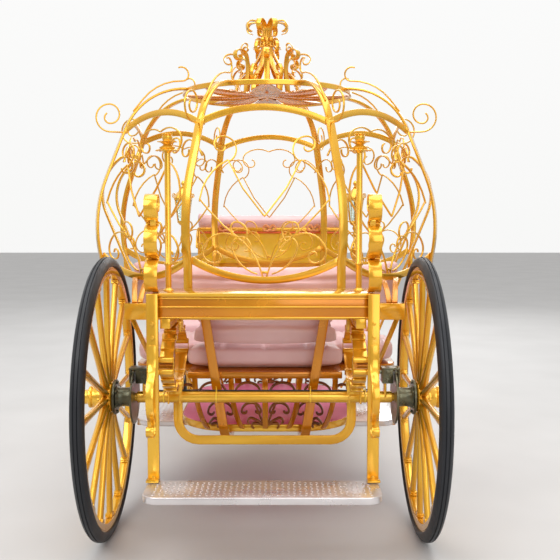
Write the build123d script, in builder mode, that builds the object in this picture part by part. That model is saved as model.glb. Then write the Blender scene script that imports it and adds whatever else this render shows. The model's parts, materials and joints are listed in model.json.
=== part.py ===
from build123d import *
from math import asin, atan, ceil, cos, degrees, radians, sin, tan
import os

os.makedirs("parts", exist_ok=True)

# Millimetres. X is to the right, Y is forward, Z is up. The origin is on the floor,
# under the middle of the carriage's length. Reach means a distance ahead of the rear axle.

# Clearances
seat_gap = 0.3  # between pieces that rest on each other
running_gap = 0.3  # between a turning bore and its pin

# Wheels
rear_radius = 600
front_radius = 420
wheelbase = 2500
rear_track = 672  # from the centre line to the middle of a rear tyre
front_track = 600
rear_spokes = 16
front_spokes = 12
tyre_height = 42
tyre_width = 55
tread_width = 28
felloe_depth = 34
felloe_width = 40
hub_radius = 66
hub_nose = 140
hub_shoulder = 77  # from the wheel's middle to the hub's step
hub_bore = 70  # from the wheel's middle to the end of the bore
spoke_root = (24, 38)  # a spoke's size around the wheel and along the axle, at the hub
spoke_tip = (36, 26)
spoke_chamfer = 7
spoke_entry = 6  # that a spoke runs into the hub and the felloe
nose_radius = 48
cap_radius = 33
barrel_half = 26  # of the hub's many-sided middle, with one flat for each spoke
stub_radius = 18
stub_length = 155

# Rear axle, hubs and brakes
axle_radius = 25
axle_half = 545
rear_hub_inner = 28
front_hub_inner = 48
flange_radius = 75
flange_thickness = 12
drum_radius = 42
disc_radius = 115
disc_thickness = 8
disc_offset = 119  # from the wheel's middle to the disc's inner face
disc_clearance = 5
caliper_roof = 10  # over the disc's edge
caliper_overlap = 15  # of the caliper's middle inside the disc's inner face
caliper_plate = 10
caliper_plate_width = 50
caliper_plate_offset = 38
caliper_height = 68
caliper_length = 70
caliper_width = 77

# Elliptic springs, the same front and rear
spring_half_height = 150
spring_half_span = 272
spring_eye_rise = 24
leaf_thickness = 8
leaf_bite = 1  # that each leaf runs into the next
leaf_width = 55
leaf_spread = [0, 7, 14, 21]  # degrees that each next leaf is shorter at each end
bar_facet = 16  # degrees of a bent bar's arc that each flat takes
shackle_radius = 15
shackle_width = 64
saddle_height = 30
saddle_depth = 42
rear_spring_x = 385
front_spring_x = 360

# Chassis
rail_x = 385
rail_width = 40
rail_height = 40
rail_overhang = 280  # of the front rails past the front axle
beam_half = 600
beam_depth = 55
beam_height = 70
neck_x = 270
neck_width = 40
neck_depth = 36
rear_neck_bend = 110
front_neck_bend = 150
front_neck_top = 300
front_neck_slope = 65
neck_weld = 4  # that the bars run into the cross beams
neck_tilt = 9  # degrees that the necks lean inward as they go down
neck_clearance = 30  # from the hoop behind the rear axle's middle to the necks

# Cage
cage_ribs_count = 8
rib_angle = 360 / cage_ribs_count
rib_foot_radius = 860
rib_foot_rise = 70  # above the cross beams
rib_width = 40
rib_thickness = 12
rib_runs = [(60, 0), (250, -12), (650, 34), (245, 0)]
strap_radius = 340
strap_turn = 66
strap_width = 34
arch_rise = 66
arch_width = 30
arch_thickness = 10
bow_rise = 115  # of the bows' ends above the ribs' feet
bow_drop = 92
bow_width = 32

# Roof ring and top ornament
ring_radius = 432
ring_thickness = 12
ring_height = 25
petal_thickness = 6
petal_inner = 60
rosette_disc = 144
petal_width = 150
high_scroll_foot = 172
high_scroll_runs = [(130, 55), (230, -60), (60, -90), (28, -170)]
low_scroll_foot = 150
low_scroll_runs = [(300, 14), (200, -29), (45, -110), (24, -150)]
scroll_width = 27
scroll_thickness = 6
scroll_facet = 30  # degrees of an arc that each flat of a scroll takes
tendril_size = 8
tendril_runs = [(60, 0), (66, 180), (46, 180), (26, 150)]
strap_curl_runs = [(80, 0), (260, 50), (34, -210)]

# Scrollwork in the panels, drawn for the right half: place from the panel's middle, heading and runs
scroll_bar = 7
scroll_depth = 10
hook_runs = [(46, 0), (250, -38), (95, -105), (48, -120), (24, -150)]
hook_heading = 72
leg_runs = [(700, 14), (130, 0)]
leg_heading = 36
leg_start = (112, 168)  # across and above the middle of the bow
peak_level = 330  # above the middle of the bow, where the upper panel starts to lean in
peak_lean = 12
peak_point = (157, 176)  # across and above that level
peak_outer_runs = [(221, -55), (10, 0)]
peak_inner_runs = [(803, -20), (10, 0)]

# Rear box, posts and footman's platform
box_half = 430
box_depth = 230
box_gap = 73  # behind the rear cross beam
box_height = 100
lid_height = 14
lid_overhang = 8
hanger_x = 432
hanger_width = 46
hanger_depth = 22
platform_half = 450
platform_depth = 215
platform_top = 334
platform_thickness = 28
platform_corner = 60
post_x = 385
post_radius = 12.5
post_height = 590
rosette_radius = 40
rosette_height = 34
post_foot_radius = 22
post_foot_height = 12
ball_radius = 22
ball_height = 40
petal_count = 8
bulge_x = 436
bulge_width = 52
bulge_inset = 28
bulge_runs = [(57, -180), (14, 180), (54, -180), (14, 180), (52, -200), (30, -150)]
bracket_width = 30
bracket_top = 870
bracket_runs = [(50, 0), (80, -60), (95, 120), (34, -200)]

# Hoop under the rear axle
hoop_x = 375
hoop_width = 40
hoop_thickness = 8
hoop_corner = 90
hoop_height = 405

# Seats
seat_board_top = 690
seat_board_thickness = 30
cushion_thickness = 119
cushion_half = 605
cushion_corner = 90
narrow_half = 340  # half width of the seat where it lies between the springs
spring_clearance = 8
knee_space = 400  # between the two benches' front edges
rear_cushion_reach = 690  # from the cabin's middle
front_cushion_reach = 590
front_back_outer = 700
back_thickness = 76
back_spread = 54  # degrees to each side
narrow_spread = 25
back_shoulder = 945
rear_back_top = 1150
front_back_top = 990

# Floor, entry bows and steps
floor_half = 400
floor_length = 980
floor_shift = -130  # of the floor's middle from the cage's
floor_corner = 260
floor_top = 430
floor_thickness = 22
floor_ring_thickness = 8
floor_ring_height = 34
entry_width = 30
entry_thickness = 10
entry_heading = 52
entry_runs = [(400, 16), (923, 0), (230, 74), (40, 200)]
step_length = 570
step_shift = -150
step_reach = 628
step_top = 400
step_thickness = 26
step_corner = 90
joist_width = 40
joist_half = 360
joist_spacing = 300
strut_width = 30
strut_thickness = 12
strut_spacing = 380
basket_bar_width = 26
basket_bar_thickness = 8
basket_ribs_rows = [(0, 0), (150, 105), (310, 262)]  # x at the bench and at the floor
basket_inset = 12  # of the ribs' tops from the bench's edge
curl_depth = 14

# Driver's place
driver_half = 450
driver_depth = 480
driver_gap = 79  # from the front cross beam to the panel
driver_corner = 30
driver_box_height = 210
driver_panel_thickness = 24
driver_panel_rise = 115  # above the rails
driver_panel_height = 225
driver_cushion_height = 80
driver_pad_thickness = 55
driver_roll_radius = 42
rosette_spacing = 260
rosette_start = 14  # that the curls start below the panel's top
rosette_runs = [(36, -150), (17, -150)]
rosette_bar = 5
rosette_tilt = 10
footboard_half = 400
footboard_thickness = 18
footboard_runs = [(470, 0), (130, 58), (170, 0), (34, -150)]

# Lamps
lamp_x = 525
lamp_sides = 6
lamp_rise = 340  # above the front cross beam
lamp_body = 150
lamp_half = 52
lamp_foot_half = 34
lamp_roof = 60
lamp_eave = 8
lamp_finial = 50
lamp_rod_radius = 9

# Front axle and turntable
front_axle_radius = 22.5
front_axle_half = 535
front_stub_reach = 42  # past the wheel's middle
bolster_half = 440
bolster_depth = 60
bolster_height = 40
plate_outer = 260
plate_inner = 190
plate_thickness = 16
plate_weld = 10  # that the middle bars run into the plates' rings
king_pin_radius = 15
transom_half = 420
transom_depth = 90

# Shafts
shaft_radius = 22
shaft_slope = 13
shaft_straight = 1500
shaft_bend = 1500
shaft_nose = 60
shaft_hinge = 400  # ahead of the front axle
shaft_pin_radius = 10
shaft_pin_reach = 8  # past the carrier's outer faces
carrier_x = 425
shaft_side_clearance = 8
carrier_width = 30
carrier_depth = 18
stay_ahead = 70
stay_radius = 110
stay_turn = 72
stay_thickness = 12
shaft_eye_radius = 24
bar_radius = 17
bar_offset = 100
trace_hole_radius = 7
trace_lug = 24
trace_weld = 5  # that the lugs run into the bar
trace_thickness = 12
trace_x = 190
shaft_bar_offset = 260


# The way that a bent bar goes: (length, 0) is straight, (radius, turn) is an arc, and a turn to
# the left is positive. Returns how far its end is from its start.
def reach_of(heading, runs):
    across, along = 0, 0
    for size, turn in runs:
        if turn == 0:
            across = across + size * cos(radians(heading))
            along = along + size * sin(radians(heading))
        else:
            side = 1 if turn > 0 else -1
            across = across + side * size * (sin(radians(heading + turn)) - sin(radians(heading)))
            along = along + side * size * (cos(radians(heading)) - cos(radians(heading + turn)))
        heading = heading + turn
    return across, along


# Draws such a line, shifted to its left, into the open BuildLine, and returns its two ends. With a
# facet angle, each arc is drawn as an even number of chords that turn by no more than that.
def bent_line(start, heading, runs, shift=0, facet=0):
    at = Vector(*start) + Vector(-sin(radians(heading)), cos(radians(heading))) * shift
    first = at
    for size, turn in runs:
        if turn > 0:
            size = size - shift
        elif turn < 0:
            size = size + shift
        chords = 2 * ceil(abs(turn) / facet / 2) if facet and turn else 1
        for _ in range(chords):
            reach = Vector(*reach_of(heading, [(size, turn / chords)]))
            if turn == 0 or facet:
                Line(at, at + reach)
            else:
                JernArc(at, (cos(radians(heading)), sin(radians(heading))), size, turn)
            at = at + reach
            heading = heading + turn / chords
    return first, at


# Draws the outline of a bar of that thickness about the line.
def bar_outline(start, heading, runs, thickness, facet=0):
    left_start, left_end = bent_line(start, heading, runs, thickness / 2, facet)
    right_start, right_end = bent_line(start, heading, runs, -thickness / 2, facet)
    Line(left_start, right_start)
    Line(left_end, right_end)


# A flat bar bent in a plane: thickness is measured in the plane, width across it.
def flat_bar(plane, start, heading, runs, thickness, width, facet=bar_facet):
    with BuildPart() as bar:
        with BuildSketch(plane):
            with BuildLine():
                bar_outline(start, heading, runs, thickness, facet)
            make_face()
        extrude(amount=width / 2, both=True)
    return bar.part


# A plane across the carriage's length, at x, with its own x forward and its own y up.
def side_plane(x, y=0, z=0):
    return Plane(origin=(x, y, z), x_dir=(0, 1, 0), z_dir=(1, 0, 0))


# A plane across the carriage's width, at y, with its own x to the right and its own y up.
def cross_plane(y, x=0, z=0):
    return Plane(origin=(x, y, z), x_dir=(1, 0, 0), z_dir=(0, -1, 0))


# Places that follow from the sizes
shaft_runs = [(shaft_straight, 0), (shaft_bend, shaft_slope), (shaft_nose, 0)]
shaft_ahead, shaft_fall = reach_of(-shaft_slope, shaft_runs)
hinge_height = shaft_radius - shaft_fall
overall_length = rear_radius + wheelbase + shaft_hinge + shaft_ahead
rear_y = rear_radius - overall_length / 2
front_y = rear_y + wheelbase
hinge_y = front_y + shaft_hinge
shaft_x = carrier_x - carrier_width / 2 - shaft_side_clearance - shaft_radius
rail_bottom = rear_radius + saddle_height + seat_gap + 2 * spring_half_height + seat_gap
rail_top = rail_bottom + rail_height
beam_top = rail_bottom + beam_height
rib_foot_height = beam_top + rib_foot_rise
bow_top = rib_foot_height + bow_rise
rib_apothem = rib_foot_radius * cos(radians(rib_angle / 2))
rear_neck_y = rear_y + axle_radius + seat_gap + hoop_thickness + neck_clearance + neck_depth / 2
rear_beam_y = rear_neck_y + neck_weld - (beam_depth + neck_depth) / 2
cage_y = rear_beam_y + rib_apothem
front_beam_y = cage_y + rib_apothem
box_front_y = rear_beam_y - beam_depth / 2 - box_gap
box_back_y = box_front_y - box_depth
driver_back_y = front_beam_y + beam_depth / 2 + driver_gap + driver_panel_thickness
driver_front_y = driver_back_y + driver_depth
rib_run = reach_of(90, rib_runs)
junction_radius = rib_foot_radius + rib_run[0]
junction_height = rib_foot_height + rib_run[1]
rib_lean = 90 + sum(turn for size, turn in rib_runs)
strap_bend = reach_of(rib_lean, [(strap_radius, strap_turn)])
strap_straight = (junction_radius + strap_bend[0] - ring_radius) / -cos(radians(rib_lean + strap_turn))
strap_runs = [(strap_radius, strap_turn), (strap_straight + strap_width, 0)]
strap_run = reach_of(rib_lean, strap_runs)
ring_top = junction_height + strap_run[1] + strap_width / 4


# Wheels: one table row per axle, the right wheel first and its mirror image on the left
wheel_rows = [
    # name, radius, track, y, spokes, inner end of the hub
    ("rear", rear_radius, rear_track, rear_y, rear_spokes, rear_hub_inner),
    ("front", front_radius, front_track, front_y, front_spokes, front_hub_inner),
]
for axle, radius, track, wheel_y, spoke_count, hub_inner in wheel_rows:
    centre = (track, wheel_y, radius)
    spin = Axis(centre, (1, 0, 0))
    section = cross_plane(wheel_y, track, radius)
    bead = radius - tyre_height
    felloe_outer = bead - seat_gap
    felloe_inner = felloe_outer - felloe_depth

    with BuildPart() as tyre:
        with BuildSketch(section):
            with BuildLine():
                Polyline(
                    (-tyre_width / 2, bead),
                    (-tread_width / 2, radius),
                    (tread_width / 2, radius),
                    (tyre_width / 2, bead),
                    close=True,
                )
            make_face()
        revolve(axis=spin)

    spoke_foot = hub_radius - spoke_entry
    spoke_end = felloe_inner + spoke_entry
    with BuildPart() as spoke:
        for plane, root, tip, mode in (
            (Plane.XY, spoke_root[0] / 2, spoke_tip[0] / 2, Mode.ADD),
            (Plane.XZ, spoke_root[1] / 2, spoke_tip[1] / 2, Mode.INTERSECT),
        ):
            with BuildSketch(plane):
                with BuildLine():
                    Polyline(
                        (spoke_foot, -root), (spoke_end, -tip), (spoke_end, tip), (spoke_foot, root), close=True
                    )
                make_face()
            extrude(amount=max(*spoke_root, *spoke_tip), both=True, mode=mode)
        long_edges = spoke.edges().filter_by(lambda edge: edge.length > (spoke_end - spoke_foot) / 2)
        chamfer(long_edges, spoke_chamfer)

    with BuildPart(Plane(origin=centre, x_dir=(0, 1, 0), z_dir=(1, 0, 0))) as rim:
        with BuildSketch(section):
            with Locations((0, (felloe_outer + felloe_inner) / 2)):
                Rectangle(felloe_width, felloe_outer - felloe_inner)
            with BuildLine():
                Polyline(
                    (-hub_inner, 0),
                    (-hub_inner, nose_radius),
                    (hub_shoulder, nose_radius),
                    (hub_shoulder, cap_radius),
                    (hub_nose, cap_radius),
                    (hub_nose, 0),
                    close=True,
                )
            make_face()
        revolve(axis=spin)
        with BuildSketch(Plane(origin=(track - barrel_half, wheel_y, radius), x_dir=(0, 1, 0), z_dir=(1, 0, 0))):
            RegularPolygon(hub_radius, spoke_count, major_radius=False, rotation=180 / spoke_count)
        extrude(amount=2 * barrel_half)
        with PolarLocations(0, spoke_count):
            add(spoke.part)
        with BuildSketch(side_plane(track - hub_inner, wheel_y, radius)):
            Circle(stub_radius + running_gap)
        extrude(amount=hub_inner + hub_bore, mode=Mode.SUBTRACT)

    for side in ("right", "left"):
        for part_name, solid in ((f"{axle}_tyre_{side}", tyre.part), (f"{axle}_rim_{side}", rim.part)):
            with BuildPart() as piece:
                if side == "right":
                    add(solid)
                else:
                    mirror(solid, about=Plane.YZ)
            piece.part.label = part_name
            export_step(piece.part, f"parts/{part_name}.step")

# Steel hub behind each rear wheel: flange, drum and brake disc in one
hub_face = rear_track - rear_hub_inner - seat_gap
disc_inner = rear_track - disc_offset
with BuildPart() as rear_hub:
    with BuildSketch(side_plane(disc_inner, rear_y, rear_radius)):
        Circle(disc_radius)
    extrude(amount=disc_thickness)
    with BuildSketch(side_plane(disc_inner, rear_y, rear_radius)):
        Circle(drum_radius)
    extrude(amount=hub_face - disc_inner)
    with BuildSketch(side_plane(hub_face, rear_y, rear_radius)):
        Circle(flange_radius)
    extrude(amount=-flange_thickness)
    with BuildSketch(side_plane(disc_inner, rear_y, rear_radius)):
        Circle(stub_radius + running_gap)
    extrude(amount=hub_face - disc_inner, mode=Mode.SUBTRACT)
for side in ("right", "left"):
    with BuildPart() as piece:
        if side == "right":
            add(rear_hub.part)
        else:
            mirror(rear_hub.part, about=Plane.YZ)
    piece.part.label = f"rear_hub_{side}"
    export_step(piece.part, f"parts/rear_hub_{side}.step")


# Rear axle: a round tube with stub ends, spring saddles and caliper plates
caliper_bottom = rear_radius + disc_radius + disc_clearance - caliper_height + caliper_roof
with BuildPart() as rear_axle:
    with BuildSketch(side_plane(0, rear_y, rear_radius)):
        Circle(axle_radius)
    extrude(amount=axle_half, both=True)
    with BuildSketch(side_plane(0, rear_y, rear_radius)):
        Circle(stub_radius)
    extrude(amount=axle_half + stub_length, both=True)
    for x in (-rear_spring_x, rear_spring_x):
        with BuildSketch(Plane.XY.offset(rear_radius)):
            with Locations((x, rear_y)):
                Rectangle(shackle_width, saddle_depth)
        extrude(amount=saddle_height)
    for x in (-1, 1):
        with BuildSketch(side_plane(x * (disc_inner - caliper_plate_offset), rear_y, rear_radius)):
            with Locations((0, (caliper_bottom - seat_gap - rear_radius) / 2)):
                Rectangle(caliper_plate_width, caliper_bottom - seat_gap - rear_radius)
        extrude(amount=caliper_plate / 2, both=True)
rear_axle.part.label = "rear_axle"
export_step(rear_axle.part, "parts/rear_axle.step")

# Brake calipers: each bridges the top of its disc
with BuildPart() as brakes:
    with BuildSketch(cross_plane(rear_y)):
        with Locations((disc_inner - caliper_overlap, caliper_bottom + caliper_height / 2)):
            Rectangle(caliper_width, caliper_height)
        slot_height = caliper_height - caliper_roof
        with Locations((disc_inner + disc_thickness / 2, caliper_bottom + slot_height / 2)):
            Rectangle(disc_thickness + 2 * disc_clearance, slot_height, mode=Mode.SUBTRACT)
    extrude(amount=caliper_length / 2, both=True)
    mirror(about=Plane.YZ)
brakes.part.label = "brakes"
export_step(brakes.part, "parts/brakes.step")


# Full elliptic spring: two packs of leaves, each next leaf shorter, joined by shackles
leaf_pitch = leaf_thickness - leaf_bite
leaf_pack = (len(leaf_spread) - 1) * leaf_pitch + leaf_thickness / 2
leaf_rise = spring_half_height - leaf_pack - spring_eye_rise
leaf_radius = (spring_half_span**2 + leaf_rise**2) / (2 * leaf_rise)
leaf_angle = degrees(asin(spring_half_span / leaf_radius))


def elliptic_spring(x, y, bottom):
    middle = bottom + spring_half_height
    with BuildPart() as spring:
        for up in (1, -1):
            for number, spread in enumerate(leaf_spread):
                angle = leaf_angle - spread
                bend = leaf_radius + number * leaf_pitch
                pivot = spring_eye_rise + leaf_rise - leaf_radius
                end = (-bend * sin(radians(angle)), up * (pivot + bend * cos(radians(angle))))
                with BuildSketch(side_plane(x, y, middle)):
                    with BuildLine():
                        bar_outline(end, up * angle, [(bend, -up * 2 * angle)], leaf_thickness, bar_facet)
                    make_face()
                extrude(amount=leaf_width / 2, both=True)
        with BuildSketch(side_plane(x, y, middle)):
            with Locations((-spring_half_span, 0), (spring_half_span, 0)):
                shackle = Rectangle(2 * shackle_radius, 2 * (spring_eye_rise + shackle_radius))
                chamfer(shackle.vertices(), shackle_radius * 0.6)
        extrude(amount=shackle_width / 2, both=True)
    return spring.part


spring_rows = [
    # name, x, y, height of the axle's saddle
    ("rear_springs", rear_spring_x, rear_y, rear_radius + saddle_height),
    ("front_springs", front_spring_x, front_y, front_radius + saddle_height),
]
for part_name, x, y, saddle in spring_rows:
    right_spring = elliptic_spring(x, y, saddle + seat_gap)
    left_spring = elliptic_spring(-x, y, saddle + seat_gap)
    with BuildPart() as springs:
        add(right_spring)
        add(left_spring)
    springs.part.label = part_name
    export_step(springs.part, f"parts/{part_name}.step")


# Chassis: rear rails, two cross beams, swan-neck bars under the cabin and front rails
lean = radians(neck_tilt)
floor_bar_top = floor_top - floor_ring_height - seat_gap
floor_bar_height = floor_bar_top - neck_depth / 2 * cos(lean) - neck_width / 2 * sin(lean)
neck_fall = (beam_top - floor_bar_height) / cos(lean)
rear_bend = reach_of(-90, [(rear_neck_bend, 90)])
rear_neck_straight = neck_fall + rear_bend[1]
front_bend = reach_of(0, [(front_neck_bend, front_neck_slope)])
front_top = reach_of(front_neck_slope, [(front_neck_top, 90 - front_neck_slope)])
front_slant = (neck_fall - front_bend[1] - front_top[1]) / sin(radians(front_neck_slope))
neck_start = rear_neck_y
neck_end = front_beam_y - (beam_depth + neck_depth) / 2 + neck_weld
neck_span = neck_end - neck_start
floor_bar = neck_span - rear_bend[0] - front_bend[0] - front_top[0]
floor_bar = floor_bar - front_slant * cos(radians(front_neck_slope))
neck_runs = [
    (rear_neck_straight, 0),
    (rear_neck_bend, 90),
    (floor_bar, 0),
    (front_neck_bend, front_neck_slope),
    (front_slant, 0),
    (front_neck_top, 90 - front_neck_slope),
]
neck_plane = Plane(origin=(neck_x, 0, beam_top), x_dir=(0, 1, 0), z_dir=(cos(lean), 0, -sin(lean)))
neck = flat_bar(neck_plane, (neck_start, 0), -90, neck_runs, neck_depth, neck_width)
with BuildPart() as chassis:
    add(neck)
    mirror(about=Plane.YZ)
    for beam_y in (rear_beam_y, front_beam_y):
        with BuildSketch(Plane.XY.offset(rail_bottom)):
            with Locations((0, beam_y)):
                Rectangle(2 * beam_half, beam_depth)
        extrude(amount=beam_height)
    with BuildSketch(Plane.XY.offset(rail_bottom)):
        for x in (-rail_x, rail_x):
            with Locations((x, (box_back_y + rear_beam_y) / 2)):
                Rectangle(rail_width, rear_beam_y - box_back_y)
            with Locations((x, (front_beam_y + front_y + rail_overhang) / 2)):
                Rectangle(rail_width, front_y + rail_overhang - front_beam_y)
    extrude(amount=rail_height)
chassis.part.label = "chassis"
export_step(chassis.part, "parts/chassis.step")


# Cage ribs: eight bent flat bars, the four in line with the cross beams stand on them
rib_axes = PolarLocations(0, cage_ribs_count, start_angle=rib_angle / 2)
rib = flat_bar(Plane.XZ, (rib_foot_radius, rib_foot_height), 90, rib_runs, rib_thickness, rib_width)
foot_length = rib_foot_height - beam_top - seat_gap
long_rib = flat_bar(
    Plane.XZ,
    (rib_foot_radius, beam_top + seat_gap),
    90,
    [(foot_length, 0)] + rib_runs,
    rib_thickness,
    rib_width,
)
with BuildPart() as cage_ribs:
    with Locations((0, cage_y)):
        for number in range(cage_ribs_count):
            angle = rib_angle * (number + 0.5)
            stands = abs(sin(radians(angle))) > cos(radians(45))
            with PolarLocations(0, 1, start_angle=angle):
                add(long_rib if stands else rib)
cage_ribs.part.label = "cage_ribs"
export_step(cage_ribs.part, "parts/cage_ribs.step")


# A bar in the flat panel between two ribs, cut off where it meets their sides. The panel can lean
# inward above a level, and then the bar's heights count from there.
def panel_bar(apothem, start, heading, runs, thickness, depth, level=0, lean_in=0):
    half = rib_angle / 2
    leaning = (cos(radians(lean_in)), 0, sin(radians(lean_in)))
    with BuildPart() as bar:
        with BuildSketch(Plane(origin=(apothem, 0, level), x_dir=(0, 1, 0), z_dir=leaning)):
            with BuildLine():
                bar_outline(start, heading, runs, thickness, bar_facet)
            make_face()
        extrude(amount=depth / 2, both=True)
        for side in (-1, 1):
            normal = Vector(0, side, 0).rotate(Axis.Z, side * half)
            split(
                bisect_by=Plane(origin=tuple(normal * -(rib_width / 2 + seat_gap)), z_dir=tuple(normal)),
                keep=Keep.BOTTOM,
            )
    return bar.part


# Arches between the ribs' shoulders and bows between their feet
arch_apothem = junction_radius * cos(radians(rib_angle / 2))
arch_half = junction_radius * sin(radians(rib_angle / 2))
arch_radius = (arch_half**2 + arch_rise**2) / (2 * arch_rise)
arch_angle = degrees(asin(arch_half / arch_radius))
arch = panel_bar(
    arch_apothem,
    (arch_half, junction_height - arch_width / 4),
    180 - arch_angle,
    [(arch_radius, 2 * arch_angle)],
    arch_width,
    arch_thickness,
)
with BuildPart() as cage_arches:
    with Locations((0, cage_y)):
        with PolarLocations(0, cage_ribs_count):
            add(arch)
cage_arches.part.label = "cage_arches"
export_step(cage_arches.part, "parts/cage_arches.step")

bow_half = rib_apothem * tan(radians(rib_angle / 2))
bow_radius = (bow_half**2 + bow_drop**2) / (2 * bow_drop)
bow_angle = degrees(asin(bow_half / bow_radius))
bow = panel_bar(
    rib_apothem,
    (-bow_half, bow_top),
    -bow_angle,
    [(bow_radius, 2 * bow_angle)],
    bow_width,
    arch_thickness,
)
with BuildPart() as base_bows:
    with Locations((0, cage_y)):
        for number in range(cage_ribs_count):
            if number % (cage_ribs_count // 2) != 0:
                with PolarLocations(0, 1, start_angle=rib_angle * number):
                    add(bow)
base_bows.part.label = "base_bows"
export_step(base_bows.part, "parts/base_bows.step")

# Roof straps from each rib's end to the ring
strap = flat_bar(
    Plane.XZ,
    (junction_radius - seat_gap, junction_height + seat_gap),
    rib_lean,
    strap_runs,
    rib_thickness,
    strap_width,
)
with BuildPart() as roof_straps:
    with Locations((0, cage_y)):
        with PolarLocations(0, cage_ribs_count, start_angle=rib_angle / 2):
            add(strap)
    with BuildSketch(Plane.XY.offset(junction_height)):
        with Locations((0, cage_y)):
            Circle(ring_radius + seat_gap)
    extrude(amount=ring_top, mode=Mode.SUBTRACT)
roof_straps.part.label = "roof_straps"
export_step(roof_straps.part, "parts/roof_straps.step")

with BuildPart() as roof_ring:
    with BuildSketch(Plane.XY.offset(ring_top - ring_height)):
        with Locations((0, cage_y)):
            Circle(ring_radius)
            Circle(ring_radius - ring_thickness, mode=Mode.SUBTRACT)
    extrude(amount=ring_height)
roof_ring.part.label = "roof_ring"
export_step(roof_ring.part, "parts/roof_ring.step")

# Rosette of petals inside the ring, which carries the ornament on top
petal_reach = ring_radius - ring_thickness - seat_gap
petal_top = ring_top - ring_height / 2
petal_half = (petal_reach - petal_inner) / 2
petal_side = petal_half**2 / petal_width + petal_width / 4
petal_turn = degrees(2 * asin(petal_half / petal_side))
with BuildSketch() as petal_outline:
    with BuildLine():
        bent_line((-petal_half, 0), petal_turn / 2, [(petal_side, -petal_turn)], 0, scroll_facet)
        bent_line((-petal_half, 0), -petal_turn / 2, [(petal_side, petal_turn)], 0, scroll_facet)
    make_face()
petal = petal_outline.sketch
with BuildPart() as roof_rosette:
    with BuildSketch(Plane.XY.offset(petal_top - petal_thickness)):
        with Locations((0, cage_y)):
            Circle(rosette_disc)
            with PolarLocations((petal_reach + petal_inner) / 2, cage_ribs_count):
                add(petal)
    extrude(amount=petal_thickness)
roof_rosette.part.label = "roof_rosette"
export_step(roof_rosette.part, "parts/roof_rosette.step")

# Top ornament: high scrolls over the ribs and low ones between them
scroll_foot = petal_top + seat_gap
scroll_size = (scroll_thickness, scroll_width, scroll_facet)
high_scroll = flat_bar(Plane.XZ, (high_scroll_foot, scroll_foot), 90, high_scroll_runs, *scroll_size)
low_scroll = flat_bar(Plane.XZ, (low_scroll_foot, scroll_foot), 90, low_scroll_runs, *scroll_size)
with BuildPart() as crown:
    with Locations((0, cage_y)):
        with PolarLocations(0, cage_ribs_count, start_angle=rib_angle / 2):
            add(high_scroll)
        with PolarLocations(0, cage_ribs_count):
            add(low_scroll)
crown.part.label = "crown"
export_step(crown.part, "parts/crown.step")

# Tendrils that spring out from the ribs' shoulders
shoulder_slope = radians(rib_lean - 90)
tendril_foot = junction_radius + (rib_thickness + tendril_size / 2) * tan(shoulder_slope)
tendril_foot = tendril_foot + rib_thickness / 2 / cos(shoulder_slope) + seat_gap
tendril = flat_bar(
    Plane.XZ,
    (tendril_foot, junction_height - rib_thickness),
    0,
    tendril_runs,
    tendril_size,
    tendril_size,
    scroll_facet,
)
with BuildPart() as tendrils:
    with Locations((0, cage_y)):
        with PolarLocations(0, cage_ribs_count, start_angle=rib_angle / 2):
            add(tendril)
tendrils.part.label = "tendrils"
export_step(tendrils.part, "parts/tendrils.step")


# Thin bars that leave the straps and curl over the ring
strap_flat = strap_turn / ceil(strap_turn / bar_facet / 2) / 2
strap_outer = strap_radius * cos(radians(strap_flat / 2))
strap_outer += rib_thickness / 2 + seat_gap + tendril_size / 2
strap_centre = (
    junction_radius - strap_radius * sin(radians(rib_lean)),
    junction_height + strap_radius * cos(radians(rib_lean)),
)
curl_angle = rib_lean - 90 + strap_flat * 1.5
curl_foot = (
    strap_centre[0] + strap_outer * cos(radians(curl_angle)),
    strap_centre[1] + strap_outer * sin(radians(curl_angle)),
)
strap_curl = flat_bar(
    Plane.XZ, curl_foot, curl_angle + 90, strap_curl_runs, tendril_size, tendril_size, scroll_facet
)
with BuildPart() as strap_curls:
    with Locations((0, cage_y)):
        with PolarLocations(0, cage_ribs_count, start_angle=rib_angle / 2):
            add(strap_curl)
strap_curls.part.label = "strap_curls"
export_step(strap_curls.part, "parts/strap_curls.step")

# Scrollwork in the panels beside the entrances: hooks on the bow, legs to the ribs, pointed curves above
bow_crest = bow_top - bow_drop + bow_width / 2 + seat_gap
leg_foot = (leg_start[0], bow_crest + leg_start[1])
scroll_section = (scroll_bar, scroll_depth)
bow_slope = bow_angle / ceil(bow_angle / bar_facet) / 2  # of the bow's flat beside its middle
hook_foot = scroll_bar / 2 * cos(radians(hook_heading)) + 1.5 * scroll_bar * tan(radians(bow_slope))
peak_section = (scroll_bar, scroll_depth, bow_crest + peak_level, peak_lean)
panel_rows = [
    # start, heading, runs, section and lean
    ((scroll_bar, bow_crest + hook_foot), hook_heading, hook_runs, scroll_section),
    (leg_foot, leg_heading, leg_runs, scroll_section),
    (peak_point, -27, peak_outer_runs, peak_section),
    (peak_point, -112, peak_inner_runs, peak_section),
]
with BuildPart() as panel_scroll:
    for start, heading, runs, section in panel_rows:
        add(panel_bar(rib_apothem, start, heading, runs, *section))
    mirror(about=Plane.XZ)
with BuildPart() as panel_scrolls:
    with Locations((0, cage_y)):
        for number in range(cage_ribs_count):
            if number % (cage_ribs_count // 2) != 0:
                with PolarLocations(0, 1, start_angle=rib_angle * number):
                    add(panel_scroll.part)
panel_scrolls.part.label = "panel_scrolls"
export_step(panel_scrolls.part, "parts/panel_scrolls.step")


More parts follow.
